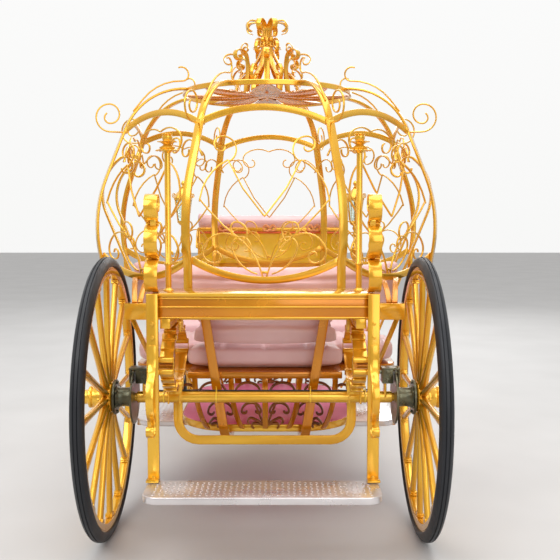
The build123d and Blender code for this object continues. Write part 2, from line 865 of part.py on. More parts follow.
# Rear box on the rails, with a lid that laps over its sides
box_bottom = rail_top + seat_gap
box_middle = (box_back_y + box_front_y) / 2
box_top = box_bottom + box_height
with BuildPart() as rear_box:
    with BuildSketch(Plane.XY.offset(box_bottom)):
        with Locations((0, box_middle)):
            Rectangle(2 * box_half, box_depth)
    extrude(amount=box_height - lid_height)
    with BuildSketch(Plane.XY.offset(box_top - lid_height)):
        with Locations((0, box_middle)):
            Rectangle(2 * (box_half + lid_overhang), box_depth + 2 * lid_overhang)
    extrude(amount=lid_height)
rear_box.part.label = "rear_box"
export_step(rear_box.part, "parts/rear_box.step")

# Hanger posts down to the platform
hanger_y = box_back_y - lid_overhang - seat_gap - hanger_depth / 2
hanger_bottom = platform_top - platform_thickness
with BuildPart() as hangers:
    with BuildSketch(Plane.XY.offset(hanger_bottom)):
        with Locations((-hanger_x, hanger_y), (hanger_x, hanger_y)):
            Rectangle(hanger_width, hanger_depth)
    extrude(amount=box_top - hanger_bottom)
hangers.part.label = "hangers"
export_step(hangers.part, "parts/hangers.step")

platform_front = hanger_y - hanger_depth / 2 - seat_gap
with BuildPart() as platform:
    with BuildSketch(Plane.XY.offset(platform_top)):
        with Locations((0, platform_front - platform_depth / 2)):
            Rectangle(2 * platform_half, platform_depth)
    extrude(amount=-platform_thickness)
    fillet(platform.edges().filter_by(Axis.Z).group_by(Axis.Y)[0], platform_corner)
platform.part.label = "platform"
export_step(platform.part, "parts/platform.step")

# Scroll brackets on the rear faces of the hanger posts
bracket_start = (hanger_y - hanger_depth / 2 - seat_gap - scroll_thickness / 2, bracket_top)
bracket_size = (scroll_thickness, bracket_width, scroll_facet)
bracket = flat_bar(side_plane(hanger_x), bracket_start, -90, bracket_runs, *bracket_size)
with BuildPart() as hanger_brackets:
    add(bracket)
    mirror(about=Plane.YZ)
hanger_brackets.part.label = "hanger_brackets"
export_step(hanger_brackets.part, "parts/hanger_brackets.step")

# Bulging scroll bands that stand on the box's rear corners
bulge = flat_bar(
    side_plane(bulge_x),
    (box_back_y + bulge_inset, box_top + seat_gap + scroll_thickness / 2),
    180,
    bulge_runs,
    scroll_thickness,
    bulge_width,
    scroll_facet,
)
with BuildPart() as rear_scrolls:
    add(bulge)
    mirror(about=Plane.YZ)
rear_scrolls.part.label = "rear_scrolls"
export_step(rear_scrolls.part, "parts/rear_scrolls.step")

# Round posts with a petal cap and a ball
post_top = box_top + post_height
cap_flare = degrees(atan((rosette_radius - post_foot_radius) / rosette_height))
ball_taper = degrees(atan((ball_radius - post_radius) / (ball_height / 2)))
post_rows = [
    # section, radius, height, taper
    ("round", post_foot_radius, post_foot_height, 0),
    ("round", post_radius, post_height - post_foot_height - rosette_height, 0),
    ("petals", post_foot_radius, rosette_height, -cap_flare),
    ("petals", post_radius, ball_height / 2, -ball_taper),
    ("petals", ball_radius, ball_height / 2, ball_taper),
]
with BuildPart() as rear_posts:
    level = box_top + seat_gap
    for section, radius, height, taper in post_rows:
        with BuildSketch(Plane(origin=(post_x, box_middle, level))):
            if section == "round":
                Circle(radius)
            else:
                RegularPolygon(radius, petal_count, major_radius=False)
        extrude(amount=height, taper=taper)
        level = level + height
    mirror(about=Plane.YZ)
rear_posts.part.label = "rear_posts"
export_step(rear_posts.part, "parts/rear_posts.step")

# Hoop hung from the rear axle
hoop_y = rear_y + axle_radius + seat_gap + hoop_thickness / 2
hoop_leg = rear_radius + axle_radius - hoop_height - hoop_corner
hoop_bar = 2 * (hoop_x - hoop_corner)
hoop_runs = [(hoop_leg, 0), (hoop_corner, 90), (hoop_bar, 0), (hoop_corner, 90), (hoop_leg, 0)]
hoop = flat_bar(
    cross_plane(hoop_y), (-hoop_x, rear_radius + axle_radius), -90, hoop_runs, hoop_width, hoop_thickness
)
with BuildPart() as rear_hoop:
    add(hoop)
rear_hoop.part.label = "rear_hoop"
export_step(rear_hoop.part, "parts/rear_hoop.step")


# Benches: a board on the swan-neck bars, a cushion and a curved back around the cabin
back_outer = rib_apothem - beam_depth / 2 - seat_gap
board_reach_rear = cage_y - neck_start - neck_depth / 2 - seat_gap
front_slant_y = neck_end - front_top[0]
board_bottom = seat_board_top - seat_board_thickness
slant_drop = (beam_top - board_bottom) / cos(lean) + neck_width / 2 * tan(lean) - front_top[1]
slant_back = slant_drop / tan(radians(front_neck_slope))
slant_face = neck_depth / 2 / sin(radians(front_neck_slope))
board_reach_front = front_slant_y - slant_back - slant_face - seat_gap - cage_y
spring_side = cage_y - rear_y - spring_half_span - shackle_radius - spring_clearance
bench_rows = [
    # name, facing, reach of the board, of its wide part and of the cushion, outer radius and top of the back
    ("rear", -1, board_reach_rear, spring_side, rear_cushion_reach, back_outer, rear_back_top),
    ("front", 1, board_reach_front, board_reach_front, front_cushion_reach, front_back_outer, front_back_top),
]
knee = knee_space / 2
for bench, facing, board_reach, wide_reach, cushion_reach, back_side, back_top in bench_rows:
    outer = Axis.Y if facing > 0 else -Axis.Y
    slab_rows = [
        # name, reach, bottom, thickness
        ("seat_board", board_reach, board_bottom, seat_board_thickness),
        ("cushion", cushion_reach, seat_board_top + seat_gap, cushion_thickness),
    ]
    for slab_name, reach, bottom, thickness in slab_rows:
        wide = min(reach, wide_reach)
        with BuildPart() as slab:
            with BuildSketch(Plane.XY.offset(bottom)):
                with Locations((0, cage_y + facing * (wide + knee) / 2)):
                    RectangleRounded(2 * cushion_half, wide - knee, cushion_corner)
                with Locations((0, cage_y + facing * (reach + knee) / 2)):
                    Rectangle(2 * narrow_half, reach - knee)
            extrude(amount=thickness)
        slab.part.label = f"{bench}_{slab_name}"
        export_step(slab.part, f"parts/{bench}_{slab_name}.step")

    # The back is wider above the springs than between them
    back_bottom = seat_board_top + seat_gap + cushion_thickness + seat_gap
    back_radius = back_side - back_thickness / 2
    back_levels = [
        # bottom, top, spread
        (back_bottom, min(back_shoulder, back_top), narrow_spread if facing < 0 else back_spread),
        (min(back_shoulder, back_top), back_top, back_spread),
    ]
    with BuildPart() as back:
        for low, high, spread in back_levels:
            heading = 90 * facing - spread + 90
            end = (back_radius * cos(radians(heading - 90)), cage_y + back_radius * sin(radians(heading - 90)))
            with BuildSketch(Plane.XY.offset(low)):
                with BuildLine():
                    bar_outline(end, heading, [(back_radius, 2 * spread)], back_thickness)
                make_face()
            extrude(amount=high - low)
    back.part.label = f"{bench}_back"
    export_step(back.part, f"parts/{bench}_back.step")


# Floor of the footwell and the ring round it
floor_y = cage_y + floor_shift
with BuildPart() as cabin_floor:
    with BuildSketch(Plane.XY.offset(floor_top)):
        with Locations((0, floor_y)):
            RectangleRounded(2 * floor_half, floor_length, floor_corner)
    extrude(amount=-floor_thickness)
cabin_floor.part.label = "cabin_floor"
export_step(cabin_floor.part, "parts/cabin_floor.step")

ring_half = floor_half + seat_gap + floor_ring_thickness
with BuildPart() as floor_ring:
    with BuildSketch(Plane.XY.offset(floor_top)):
        with Locations((0, floor_y)):
            RectangleRounded(
                2 * ring_half,
                floor_length + 2 * (ring_half - floor_half),
                floor_corner + ring_half - floor_half,
            )
            RectangleRounded(
                2 * (floor_half + seat_gap),
                floor_length + 2 * seat_gap,
                floor_corner + seat_gap,
                mode=Mode.SUBTRACT,
            )
    extrude(amount=-floor_ring_height)
floor_ring.part.label = "floor_ring"
export_step(floor_ring.part, "parts/floor_ring.step")

# Steps outside the footwell
with BuildPart() as side_steps:
    with BuildSketch(Plane.XY.offset(step_top)):
        with Locations(((ring_half + seat_gap + step_reach) / 2, cage_y + step_shift)):
            Rectangle(step_reach - ring_half - seat_gap, step_length)
    extrude(amount=-step_thickness)
    fillet(side_steps.edges().filter_by(Axis.Z).group_by(Axis.X)[-1], step_corner)
    mirror(about=Plane.YZ)
side_steps.part.label = "side_steps"
export_step(side_steps.part, "parts/side_steps.step")

# Joists between the floor and the necks, and struts from the necks to the steps
joist_height = floor_top - floor_thickness - floor_bar_top - 2 * seat_gap
strut_inner = neck_x - (beam_top - step_top + step_thickness) * tan(lean) + neck_width
strut_top = step_top - step_thickness - seat_gap
with BuildPart() as floor_joists:
    with BuildSketch(Plane.XY.offset(floor_bar_top + seat_gap)):
        with GridLocations(1, joist_spacing, 1, 3):
            with Locations((0, floor_y)):
                Rectangle(2 * joist_half, joist_width)
    extrude(amount=joist_height)
    with BuildSketch(Plane.XY.offset(strut_top)):
        for y in (-strut_spacing / 2, strut_spacing / 2):
            with Locations(((strut_inner + step_reach) / 2, cage_y + step_shift + y)):
                Rectangle(step_reach - strut_inner, strut_width)
    extrude(amount=-strut_thickness)
    mirror(about=Plane.YZ)
floor_joists.part.label = "floor_joists"
export_step(floor_joists.part, "parts/floor_joists.step")

# Basket below the benches: bent ribs from the seat boards down to the floor ring
board_edges = {-1: cage_y - board_reach_rear, 1: cage_y + board_reach_front}
ring_edges = {-1: floor_y - floor_length / 2, 1: floor_y + floor_length / 2}
rib_drop = board_bottom - seat_gap - floor_top + floor_ring_height / 2
with BuildPart() as basket_ribs:
    for facing in (-1, 1):
        top_y = board_edges[facing] - facing * basket_inset
        for top_x, foot_x in basket_ribs_rows:
            away = (foot_x - top_x, ring_edges[facing] - top_y)
            distance = Vector(*away).length
            belly = 2 * atan(distance / rib_drop)
            plane = Plane(
                origin=(top_x, top_y, 0),
                x_dir=(away[0], away[1], 0),
                z_dir=(away[1], -away[0], 0),
            )
            basket_rib = flat_bar(
                plane,
                (0, board_bottom - seat_gap),
                -90,
                [(rib_drop / sin(belly), degrees(belly))],
                basket_bar_thickness,
                basket_bar_width,
            )
            add(basket_rib)
    mirror(about=Plane.YZ)
    with BuildSketch(Plane.XY.offset(floor_top - floor_ring_height)):
        with Locations((0, floor_y)):
            RectangleRounded(
                2 * (ring_half + seat_gap),
                floor_length + 2 * (ring_half - floor_half + seat_gap),
                floor_corner + ring_half - floor_half + seat_gap,
            )
    extrude(amount=floor_ring_height, mode=Mode.SUBTRACT)
basket_ribs.part.label = "basket_ribs"
export_step(basket_ribs.part, "parts/basket_ribs.step")

# Entry bows: bent bars each side of both entrances
entry_start = (ring_half - entry_thickness, floor_top + seat_gap + entry_thickness)
entry_half = knee_space / 2 - seat_gap - entry_width / 2
with BuildPart() as entry_bows:
    for y in (cage_y - entry_half, cage_y + entry_half):
        entry = flat_bar(cross_plane(y), entry_start, entry_heading, entry_runs, entry_thickness, entry_width)
        add(entry)
    mirror(about=Plane.YZ)
entry_bows.part.label = "entry_bows"
export_step(entry_bows.part, "parts/entry_bows.step")


# Driver's box, seat and footboard
box_plane = Plane.XY.offset(rail_top + seat_gap)
driver_seat = rail_top + seat_gap + driver_box_height
with BuildPart() as driver_box:
    with BuildSketch(box_plane):
        with Locations((0, (driver_back_y + driver_front_y) / 2)):
            Rectangle(2 * driver_half, driver_depth)
    extrude(amount=driver_box_height)
    chamfer(driver_box.edges().filter_by(Axis.Z), driver_corner)
driver_box.part.label = "driver_box"
export_step(driver_box.part, "parts/driver_box.step")

panel_y = driver_back_y - seat_gap - driver_panel_thickness / 2
panel_top = rail_top + driver_panel_rise + driver_panel_height
with BuildPart() as driver_panel:
    with BuildSketch(cross_plane(panel_y)):
        with Locations((0, panel_top - driver_panel_height / 2)):
            Rectangle(2 * driver_half, driver_panel_height)
    extrude(amount=driver_panel_thickness / 2, both=True)
driver_panel.part.label = "driver_panel"
export_step(driver_panel.part, "parts/driver_panel.step")

cushion_bottom = driver_seat + seat_gap
with BuildPart() as driver_cushion:
    with BuildSketch(Plane.XY.offset(cushion_bottom)):
        with Locations((0, (driver_back_y + driver_front_y) / 2)):
            Rectangle(2 * driver_half, driver_depth)
    extrude(amount=driver_cushion_height)
    chamfer(driver_cushion.edges().filter_by(Axis.Z), driver_corner)
driver_cushion.part.label = "driver_cushion"
export_step(driver_cushion.part, "parts/driver_cushion.step")

pad_bottom = cushion_bottom + driver_cushion_height + seat_gap
roll_z = panel_top + seat_gap + driver_roll_radius
roll_y = driver_roll_radius - driver_panel_thickness
with BuildPart() as driver_back_pad:
    with BuildSketch(side_plane(0, driver_back_y)):
        with Locations((driver_pad_thickness / 2, (pad_bottom + roll_z) / 2)):
            Rectangle(driver_pad_thickness, roll_z - pad_bottom)
        with Locations((roll_y, roll_z)):
            Circle(driver_roll_radius)
    extrude(amount=driver_half, both=True)
driver_back_pad.part.label = "driver_back_pad"
export_step(driver_back_pad.part, "parts/driver_back_pad.step")

rosette_y = panel_y - driver_panel_thickness / 2 - seat_gap - curl_depth / 2
with BuildPart() as seat_rosettes:
    for x in (-rosette_spacing, 0, rosette_spacing):
        for side in (-1, 1):
            curl = flat_bar(
                cross_plane(rosette_y, x),
                (side * rosette_bar / 2, panel_top - rosette_start),
                90 - side * rosette_tilt,
                [(size, side * turn) for size, turn in rosette_runs],
                rosette_bar,
                curl_depth,
                scroll_facet,
            )
            add(curl)
seat_rosettes.part.label = "seat_rosettes"
export_step(seat_rosettes.part, "parts/seat_rosettes.step")

board_start = (driver_front_y + seat_gap, rail_top + seat_gap + footboard_thickness / 2)
board_bar = flat_bar(
    side_plane(0), board_start, 0, footboard_runs, footboard_thickness, 2 * footboard_half
)
with BuildPart() as footboard:
    add(board_bar)
footboard.part.label = "footboard"
export_step(footboard.part, "parts/footboard.step")


# Lamps on rods that stand on the front cross beam
lamp_bottom = beam_top + lamp_rise
lamp_top = lamp_bottom + lamp_body
lamp_flare = degrees(atan((lamp_half - lamp_foot_half) / lamp_body))
roof_taper = degrees(atan((lamp_half + lamp_eave - lamp_rod_radius) / lamp_roof))
with BuildPart() as lamps:
    with BuildSketch(Plane(origin=(lamp_x, front_beam_y, beam_top + seat_gap))):
        Circle(lamp_rod_radius)
    extrude(amount=lamp_rise)
    with BuildSketch(Plane(origin=(lamp_x, front_beam_y, lamp_bottom))):
        RegularPolygon(lamp_foot_half, lamp_sides, major_radius=False)
    extrude(amount=lamp_body, taper=-lamp_flare)
    with BuildSketch(Plane(origin=(lamp_x, front_beam_y, lamp_top))):
        RegularPolygon(lamp_half + lamp_eave, lamp_sides, major_radius=False)
    extrude(amount=lamp_roof, taper=roof_taper)
    with BuildSketch(Plane(origin=(lamp_x, front_beam_y, lamp_top + lamp_roof))):
        RegularPolygon(lamp_rod_radius, lamp_sides, major_radius=False)
    extrude(amount=lamp_finial)
    mirror(about=Plane.YZ)
lamps.part.label = "lamps"
export_step(lamps.part, "parts/lamps.step")


# Front axle
with BuildPart() as front_axle:
    with BuildSketch(side_plane(0, front_y, front_radius)):
        Circle(front_axle_radius)
    extrude(amount=front_axle_half, both=True)
    with BuildSketch(side_plane(0, front_y, front_radius)):
        Circle(stub_radius)
    extrude(amount=front_track + front_stub_reach, both=True)
    for x in (-front_spring_x, front_spring_x):
        with BuildSketch(Plane.XY.offset(front_radius)):
            with Locations((x, front_y)):
                Rectangle(shackle_width, saddle_depth)
        extrude(amount=saddle_height)
front_axle.part.label = "front_axle"
export_step(front_axle.part, "parts/front_axle.step")

# Turntable: the lower plate turns with the front axle, the upper one carries the rails
bolster_bottom = front_radius + saddle_height + seat_gap + 2 * spring_half_height + seat_gap
plate_bottom = bolster_bottom + bolster_height
with BuildPart() as turntable_lower:
    with BuildSketch(Plane.XY.offset(bolster_bottom)):
        with Locations((0, front_y)):
            Rectangle(2 * bolster_half, bolster_depth)
    extrude(amount=bolster_height)
    with BuildSketch(Plane.XY.offset(plate_bottom)):
        with Locations((0, front_y)):
            Circle(plate_outer)
            Circle(plate_inner, mode=Mode.SUBTRACT)
            Rectangle(2 * (plate_inner + plate_weld), bolster_depth)
    extrude(amount=plate_thickness)
    with BuildSketch(Plane.XY.offset(bolster_bottom)):
        with Locations((0, front_y)):
            Circle(king_pin_radius + running_gap)
    extrude(amount=bolster_height + plate_thickness, mode=Mode.SUBTRACT)
turntable_lower.part.label = "turntable_lower"
export_step(turntable_lower.part, "parts/turntable_lower.step")

upper_bottom = plate_bottom + plate_thickness + running_gap
with BuildPart() as turntable_upper:
    with BuildSketch(Plane.XY.offset(upper_bottom)):
        with Locations((0, front_y)):
            Circle(plate_outer)
            Circle(plate_inner, mode=Mode.SUBTRACT)
    extrude(amount=plate_thickness)
    with BuildSketch(Plane.XY.offset(upper_bottom)):
        with Locations((0, front_y)):
            Rectangle(2 * (plate_inner + plate_weld), transom_depth)
    extrude(amount=plate_thickness)
    with BuildSketch(Plane.XY.offset(upper_bottom + plate_thickness)):
        with Locations((0, front_y)):
            Rectangle(2 * transom_half, transom_depth)
    extrude(amount=rail_bottom - seat_gap - upper_bottom - plate_thickness)
    with BuildSketch(Plane.XY.offset(upper_bottom)):
        with Locations((0, front_y)):
            Circle(king_pin_radius)
    extrude(amount=bolster_bottom - upper_bottom)
turntable_upper.part.label = "turntable_upper"
export_step(turntable_upper.part, "parts/turntable_upper.step")

# Carrier for the shafts: two bars ahead of the axle, stays from the bolster and a cross bar
trace_y = hinge_y - bar_offset + bar_radius + trace_lug - trace_weld
carrier_start = front_y + front_axle_radius + seat_gap
carrier_bar = hinge_y - carrier_start
stay_start = (front_y + bolster_depth / 2 + seat_gap, bolster_bottom + bolster_height / 2)
stay_bend = reach_of(0, [(stay_radius, -stay_turn)])
stay_drop = (stay_start[1] + stay_bend[1] - hinge_height) / sin(radians(stay_turn))
stay_runs = [(stay_ahead, 0), (stay_radius, -stay_turn), (stay_drop, 0)]
with BuildPart() as shaft_carrier:
    for x in (-carrier_x, carrier_x):
        with BuildSketch(side_plane(x)):
            with Locations((carrier_start + carrier_bar / 2, hinge_height)):
                Rectangle(carrier_bar, carrier_depth)
            with Locations((hinge_y, hinge_height)):
                Circle(shaft_eye_radius)
        extrude(amount=carrier_width / 2, both=True)
        stay = flat_bar(side_plane(x), stay_start, 0, stay_runs, stay_thickness, carrier_width)
        add(stay)
    with BuildSketch(side_plane(0, hinge_y - bar_offset, hinge_height)):
        Circle(bar_radius)
    extrude(amount=carrier_x, both=True)
    with BuildSketch(Plane.XY.offset(hinge_height)):
        with Locations((-trace_x, trace_y), (trace_x, trace_y)):
            Circle(trace_lug)
            Circle(trace_hole_radius, mode=Mode.SUBTRACT)
    extrude(amount=trace_thickness / 2, both=True)
    with BuildSketch(side_plane(0, hinge_y, hinge_height)):
        Circle(shaft_pin_radius + running_gap)
    extrude(amount=carrier_x + carrier_width, both=True, mode=Mode.SUBTRACT)
shaft_carrier.part.label = "shaft_carrier"
export_step(shaft_carrier.part, "parts/shaft_carrier.step")


# Shafts: two bent tubes with hinge pins, resting with their noses on the floor
with BuildLine() as shaft_line:
    bent_line((hinge_y, hinge_height), -shaft_slope, shaft_runs)
shaft_path = side_plane(shaft_x).from_local_coords(shaft_line.line)
with BuildPart() as shafts:
    with BuildSketch(Plane(origin=shaft_path @ 0, z_dir=shaft_path % 0)):
        Circle(shaft_radius)
    sweep(path=shaft_path)
    with BuildSketch(side_plane(shaft_x, hinge_y, hinge_height)):
        Circle(shaft_radius)
    extrude(amount=shaft_radius, both=True)
    with BuildSketch(side_plane(shaft_x, hinge_y, hinge_height)):
        Circle(shaft_pin_radius)
    extrude(amount=carrier_x + carrier_width / 2 + shaft_pin_reach - shaft_x)
    mirror(about=Plane.YZ)
shafts.part.label = "shafts"
export_step(shafts.part, "parts/shafts.step")

bar_y = hinge_y + shaft_bar_offset * cos(radians(shaft_slope))
bar_z = hinge_height - shaft_bar_offset * sin(radians(shaft_slope))
with BuildPart() as shaft_bar:
    with BuildSketch(side_plane(0, bar_y, bar_z)):
        Circle(bar_radius)
    extrude(amount=shaft_x - shaft_radius - seat_gap, both=True)
shaft_bar.part.label = "shaft_bar"
export_step(shaft_bar.part, "parts/shaft_bar.step")
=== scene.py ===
import json
from math import asin, atan, atan2, ceil, cos, degrees, pi, radians, sin, sqrt, tan

import bpy
from mathutils import Matrix, Vector

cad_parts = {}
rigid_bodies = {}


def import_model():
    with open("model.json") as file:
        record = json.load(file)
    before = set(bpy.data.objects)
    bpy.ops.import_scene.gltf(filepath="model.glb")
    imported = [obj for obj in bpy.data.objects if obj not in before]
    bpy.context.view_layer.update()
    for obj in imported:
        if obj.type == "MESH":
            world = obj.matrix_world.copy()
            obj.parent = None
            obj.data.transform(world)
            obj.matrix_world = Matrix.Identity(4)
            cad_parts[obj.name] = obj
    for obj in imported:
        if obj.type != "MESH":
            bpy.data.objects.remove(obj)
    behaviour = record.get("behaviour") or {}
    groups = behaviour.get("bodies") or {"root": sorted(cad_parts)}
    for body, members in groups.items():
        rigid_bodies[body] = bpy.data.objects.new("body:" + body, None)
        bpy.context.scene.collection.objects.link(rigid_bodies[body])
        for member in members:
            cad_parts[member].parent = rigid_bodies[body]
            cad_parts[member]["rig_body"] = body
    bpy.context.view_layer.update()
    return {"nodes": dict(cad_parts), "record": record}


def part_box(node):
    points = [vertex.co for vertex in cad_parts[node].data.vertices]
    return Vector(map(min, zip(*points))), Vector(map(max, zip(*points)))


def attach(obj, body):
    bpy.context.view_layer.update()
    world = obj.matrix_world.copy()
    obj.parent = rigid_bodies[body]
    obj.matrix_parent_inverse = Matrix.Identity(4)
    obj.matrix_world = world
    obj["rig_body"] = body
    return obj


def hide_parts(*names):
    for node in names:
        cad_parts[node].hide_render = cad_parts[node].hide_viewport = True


# Metres. X is to the right, Y is forward, Z is up, as in the CAD frame.

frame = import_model()
bpy.ops.object.select_all(action="DESELECT")
nodes = frame["nodes"]
print("frame loaded")


# finishes

def newMaterial(name):
    material = bpy.data.materials.new(name)
    material.use_nodes = True
    tree = material.node_tree
    tree.nodes.clear()
    output = tree.nodes.new("ShaderNodeOutputMaterial")
    shader = tree.nodes.new("ShaderNodeBsdfPrincipled")
    tree.links.new(shader.outputs["BSDF"], output.inputs["Surface"])
    return material, tree, shader


def objectNoise(tree, scale, detail=3.0, stretch=(1, 1, 1)):
    coordinates = tree.nodes.new("ShaderNodeTexCoord")
    mapping = tree.nodes.new("ShaderNodeMapping")
    mapping.inputs["Scale"].default_value = stretch
    noise = tree.nodes.new("ShaderNodeTexNoise")
    noise.inputs["Scale"].default_value = scale
    noise.inputs["Detail"].default_value = detail
    tree.links.new(coordinates.outputs["Object"], mapping.inputs["Vector"])
    tree.links.new(mapping.outputs["Vector"], noise.inputs["Vector"])
    return noise.outputs["Fac"]


def colourRamp(tree, factor, stops):
    ramp = tree.nodes.new("ShaderNodeValToRGB")
    tree.links.new(factor, ramp.inputs["Fac"])
    while len(ramp.color_ramp.elements) < len(stops):
        ramp.color_ramp.elements.new(0.5)
    for element, (place, colour) in zip(ramp.color_ramp.elements, stops):
        element.position = place
        element.color = (*colour, 1)
    return ramp.outputs["Color"]


def bumpNode(tree, height, strength, distance):
    bump = tree.nodes.new("ShaderNodeBump")
    bump.inputs["Strength"].default_value = strength
    bump.inputs["Distance"].default_value = distance
    tree.links.new(height, bump.inputs["Height"])
    return bump


def addBump(tree, shader, height, strength, distance):
    bump = bumpNode(tree, height, strength, distance)
    tree.links.new(bump.outputs["Normal"], shader.inputs["Normal"])


def paint(name, dark, light, rough, metallic, coat):
    material, tree, shader = newMaterial(name)
    colour = colourRamp(tree, objectNoise(tree, 3.5, 2), [(0.35, dark), (0.65, light)])
    tree.links.new(colour, shader.inputs["Base Color"])
    gloss = colourRamp(tree, objectNoise(tree, 14, 4), [(0.35, (rough,) * 3), (0.7, (rough + 0.09,) * 3)])
    tree.links.new(gloss, shader.inputs["Roughness"])
    shader.inputs["Metallic"].default_value = metallic
    shader.inputs["Coat Weight"].default_value = coat
    shader.inputs["Coat Roughness"].default_value = 0.1
    addBump(tree, shader, objectNoise(tree, 45, 2), 0.05, 0.0008)
    return material


def satin(name, dark, light, sheen, weave=700, fold=0.35):
    material, tree, shader = newMaterial(name)
    colour = colourRamp(tree, objectNoise(tree, 5, 3), [(0.3, dark), (0.7, light)])
    tree.links.new(colour, shader.inputs["Base Color"])
    shader.inputs["Roughness"].default_value = 0.42
    shader.inputs["Sheen Weight"].default_value = sheen
    shader.inputs["Sheen Roughness"].default_value = 0.35
    folds = bumpNode(tree, objectNoise(tree, 9, 3, (0.5, 1.6, 2.2)), fold, 0.006)
    threads = bumpNode(tree, objectNoise(tree, weave, 2), 0.08, 0.0006)
    tree.links.new(folds.outputs["Normal"], threads.inputs["Normal"])
    tree.links.new(threads.outputs["Normal"], shader.inputs["Normal"])
    return material


def etchedGlass(name):
    material, tree, shader = newMaterial(name)
    etched = colourRamp(tree, objectNoise(tree, 60, 5), [(0.48, (0.12,) * 3), (0.55, (0.5,) * 3)])
    tree.links.new(etched, shader.inputs["Roughness"])
    shader.inputs["Base Color"].default_value = (0.72, 0.86, 0.80, 1)
    shader.inputs["Transmission Weight"].default_value = 0.92
    shader.inputs["IOR"].default_value = 1.2
    addBump(tree, shader, objectNoise(tree, 90, 4), 0.25, 0.001)
    return material


finishes = {
    "gold_paint": paint("goldPaint", (0.78, 0.38, 0.014), (0.88, 0.50, 0.034), 0.18, 0.62, 0.6),
    # orange_gold is the gold paint darkened to the orange that gold shows in shade: a shaded copy of the
    # gold paint, which paints shade wherever it is used
    "orange_gold": paint("orangeGoldPaintedShade", (0.58, 0.19, 0.002), (0.70, 0.27, 0.004), 0.20, 0.5, 0.5),
    "yellow_panel": paint("yellowPanel", (0.80, 0.50, 0.014), (0.86, 0.57, 0.024), 0.16, 0.05, 0.6),
    "black_tyre": paint("blackRubber", (0.003, 0.004, 0.007), (0.007, 0.009, 0.014), 0.48, 0.0, 0.05),
    "hub_steel": paint("hubSteel", (0.07, 0.07, 0.045), (0.20, 0.20, 0.13), 0.26, 0.85, 0.1),
    "tread_plate": paint("treadPlate", (0.62, 0.58, 0.58), (0.78, 0.74, 0.74), 0.26, 0.75, 0.1),
    "pink_satin": satin("pinkSatin", (0.82, 0.52, 0.54), (0.88, 0.61, 0.62), 0.45),
    "pink_carpet": satin("pinkCarpet", (0.90, 0.13, 0.38), (0.97, 0.22, 0.50), 0.15, 260, 0.1),
    "bronze_gold": paint("bronzeGold", (0.16, 0.040, 0.004), (0.30, 0.090, 0.008), 0.25, 0.5, 0.4),
    "red_line": paint("redLine", (0.72, 0.10, 0.012), (0.80, 0.15, 0.020), 0.25, 0.2, 0.5),
    "rose_gold": paint("roseGold", (0.80, 0.30, 0.11), (0.86, 0.38, 0.15), 0.28, 0.4, 0.4),
    "pale_wax": satin("paleWax", (0.86, 0.80, 0.68), (0.92, 0.87, 0.76), 0.1),
    "lamp_glass": etchedGlass("lampGlass"),
}
for entry in frame["record"]["subparts"]:
    node = nodes[entry["node"]]
    node.data.materials.clear()
    node.data.materials.append(finishes[entry["material_slot"]])
print("finishes set")


# ways of making pieces

def pickOnly(piece):
    bpy.ops.object.select_all(action="DESELECT")
    piece.select_set(True)
    bpy.context.view_layer.objects.active = piece


def openMesh(piece, mode="FACE"):
    pickOnly(piece)
    bpy.ops.object.mode_set(mode="EDIT")
    bpy.ops.mesh.select_mode(type=mode)
    bpy.ops.mesh.select_all(action="SELECT")


def closeMesh():
    bpy.ops.object.mode_set(mode="OBJECT")


# nothing of the mesh stays selected, so that faces or edges can be selected in code
def clearMesh(piece):
    openMesh(piece)
    bpy.ops.mesh.select_all(action="DESELECT")
    closeMesh()


def settle(piece):
    pickOnly(piece)
    bpy.ops.object.transform_apply(location=True, rotation=True, scale=True)


def pointOut(piece, gap=0.00005):
    openMesh(piece)
    bpy.ops.mesh.remove_doubles(threshold=gap)
    bpy.ops.mesh.normals_make_consistent(inside=False)
    closeMesh()


# a modifier of one kind, set and applied at once
def changed(piece, kind, **settings):
    pickOnly(piece)
    modifier = piece.modifiers.new("change", kind)
    for key, value in settings.items():
        setattr(modifier, key, value)
    bpy.ops.object.modifier_apply(modifier=modifier.name)


def roundEdges(piece, width, segments=2, limit=35):
    changed(
        piece, "BEVEL", width=width, segments=segments, limit_method="ANGLE", angle_limit=radians(limit),
    )
    bpy.ops.object.shade_smooth_by_angle(angle=radians(limit))


def joined(name, pieces):
    bpy.ops.object.select_all(action="DESELECT")
    for piece in pieces:
        piece.select_set(True)
    bpy.context.view_layer.objects.active = pieces[0]
    if len(pieces) > 1:
        bpy.ops.object.join()
    whole = bpy.context.view_layer.objects.active
    whole.name = name
    return whole


def copied(piece, change):
    twin = piece.copy()
    twin.data = piece.data.copy()
    bpy.context.collection.objects.link(twin)
    twin.data.transform(change)
    if change.determinant() < 0:
        twin.data.flip_normals()
    return twin


def mirrored(piece):
    return copied(piece, Matrix.Scale(-1, 4, Vector((1, 0, 0))))


# a piece and its twin on the other side of the carriage
def bothSides(piece):
    return [piece, mirrored(piece)]


def turned(piece, centre, axis, angles):
    around = Matrix.Translation(centre)
    return [
        copied(piece, around @ Matrix.Rotation(radians(a), 4, axis) @ around.inverted())
        for a in angles
    ]


# copies of a piece all round an upright line, in place of the piece itself
def shareOut(piece, centre, angles):
    copies = turned(piece, centre, "Z", angles)
    bpy.data.objects.remove(piece)
    return copies


def placed(piece, body, slotName, finish, *stoodFor):
    piece.data.materials.clear()
    piece.data.materials.append(finish)
    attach(piece, body)
    if stoodFor:
        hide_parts(*stoodFor)
    return piece


# pieces made one, in gold paint on the carriage
def gilded(name, pieces, *stoodFor):
    return placed(joined(name, pieces), "carriage", "gold_paint", finishes["gold_paint"], *stoodFor)


# a plane of drawing: its origin and the world directions of its own across and up
def sidePlane(x, y=0.0, z=0.0):
    return Vector((x, y, z)), Vector((0, 1, 0)), Vector((0, 0, 1))


def crossPlane(y, x=0.0, z=0.0):
    return Vector((x, y, z)), Vector((1, 0, 0)), Vector((0, 0, 1))


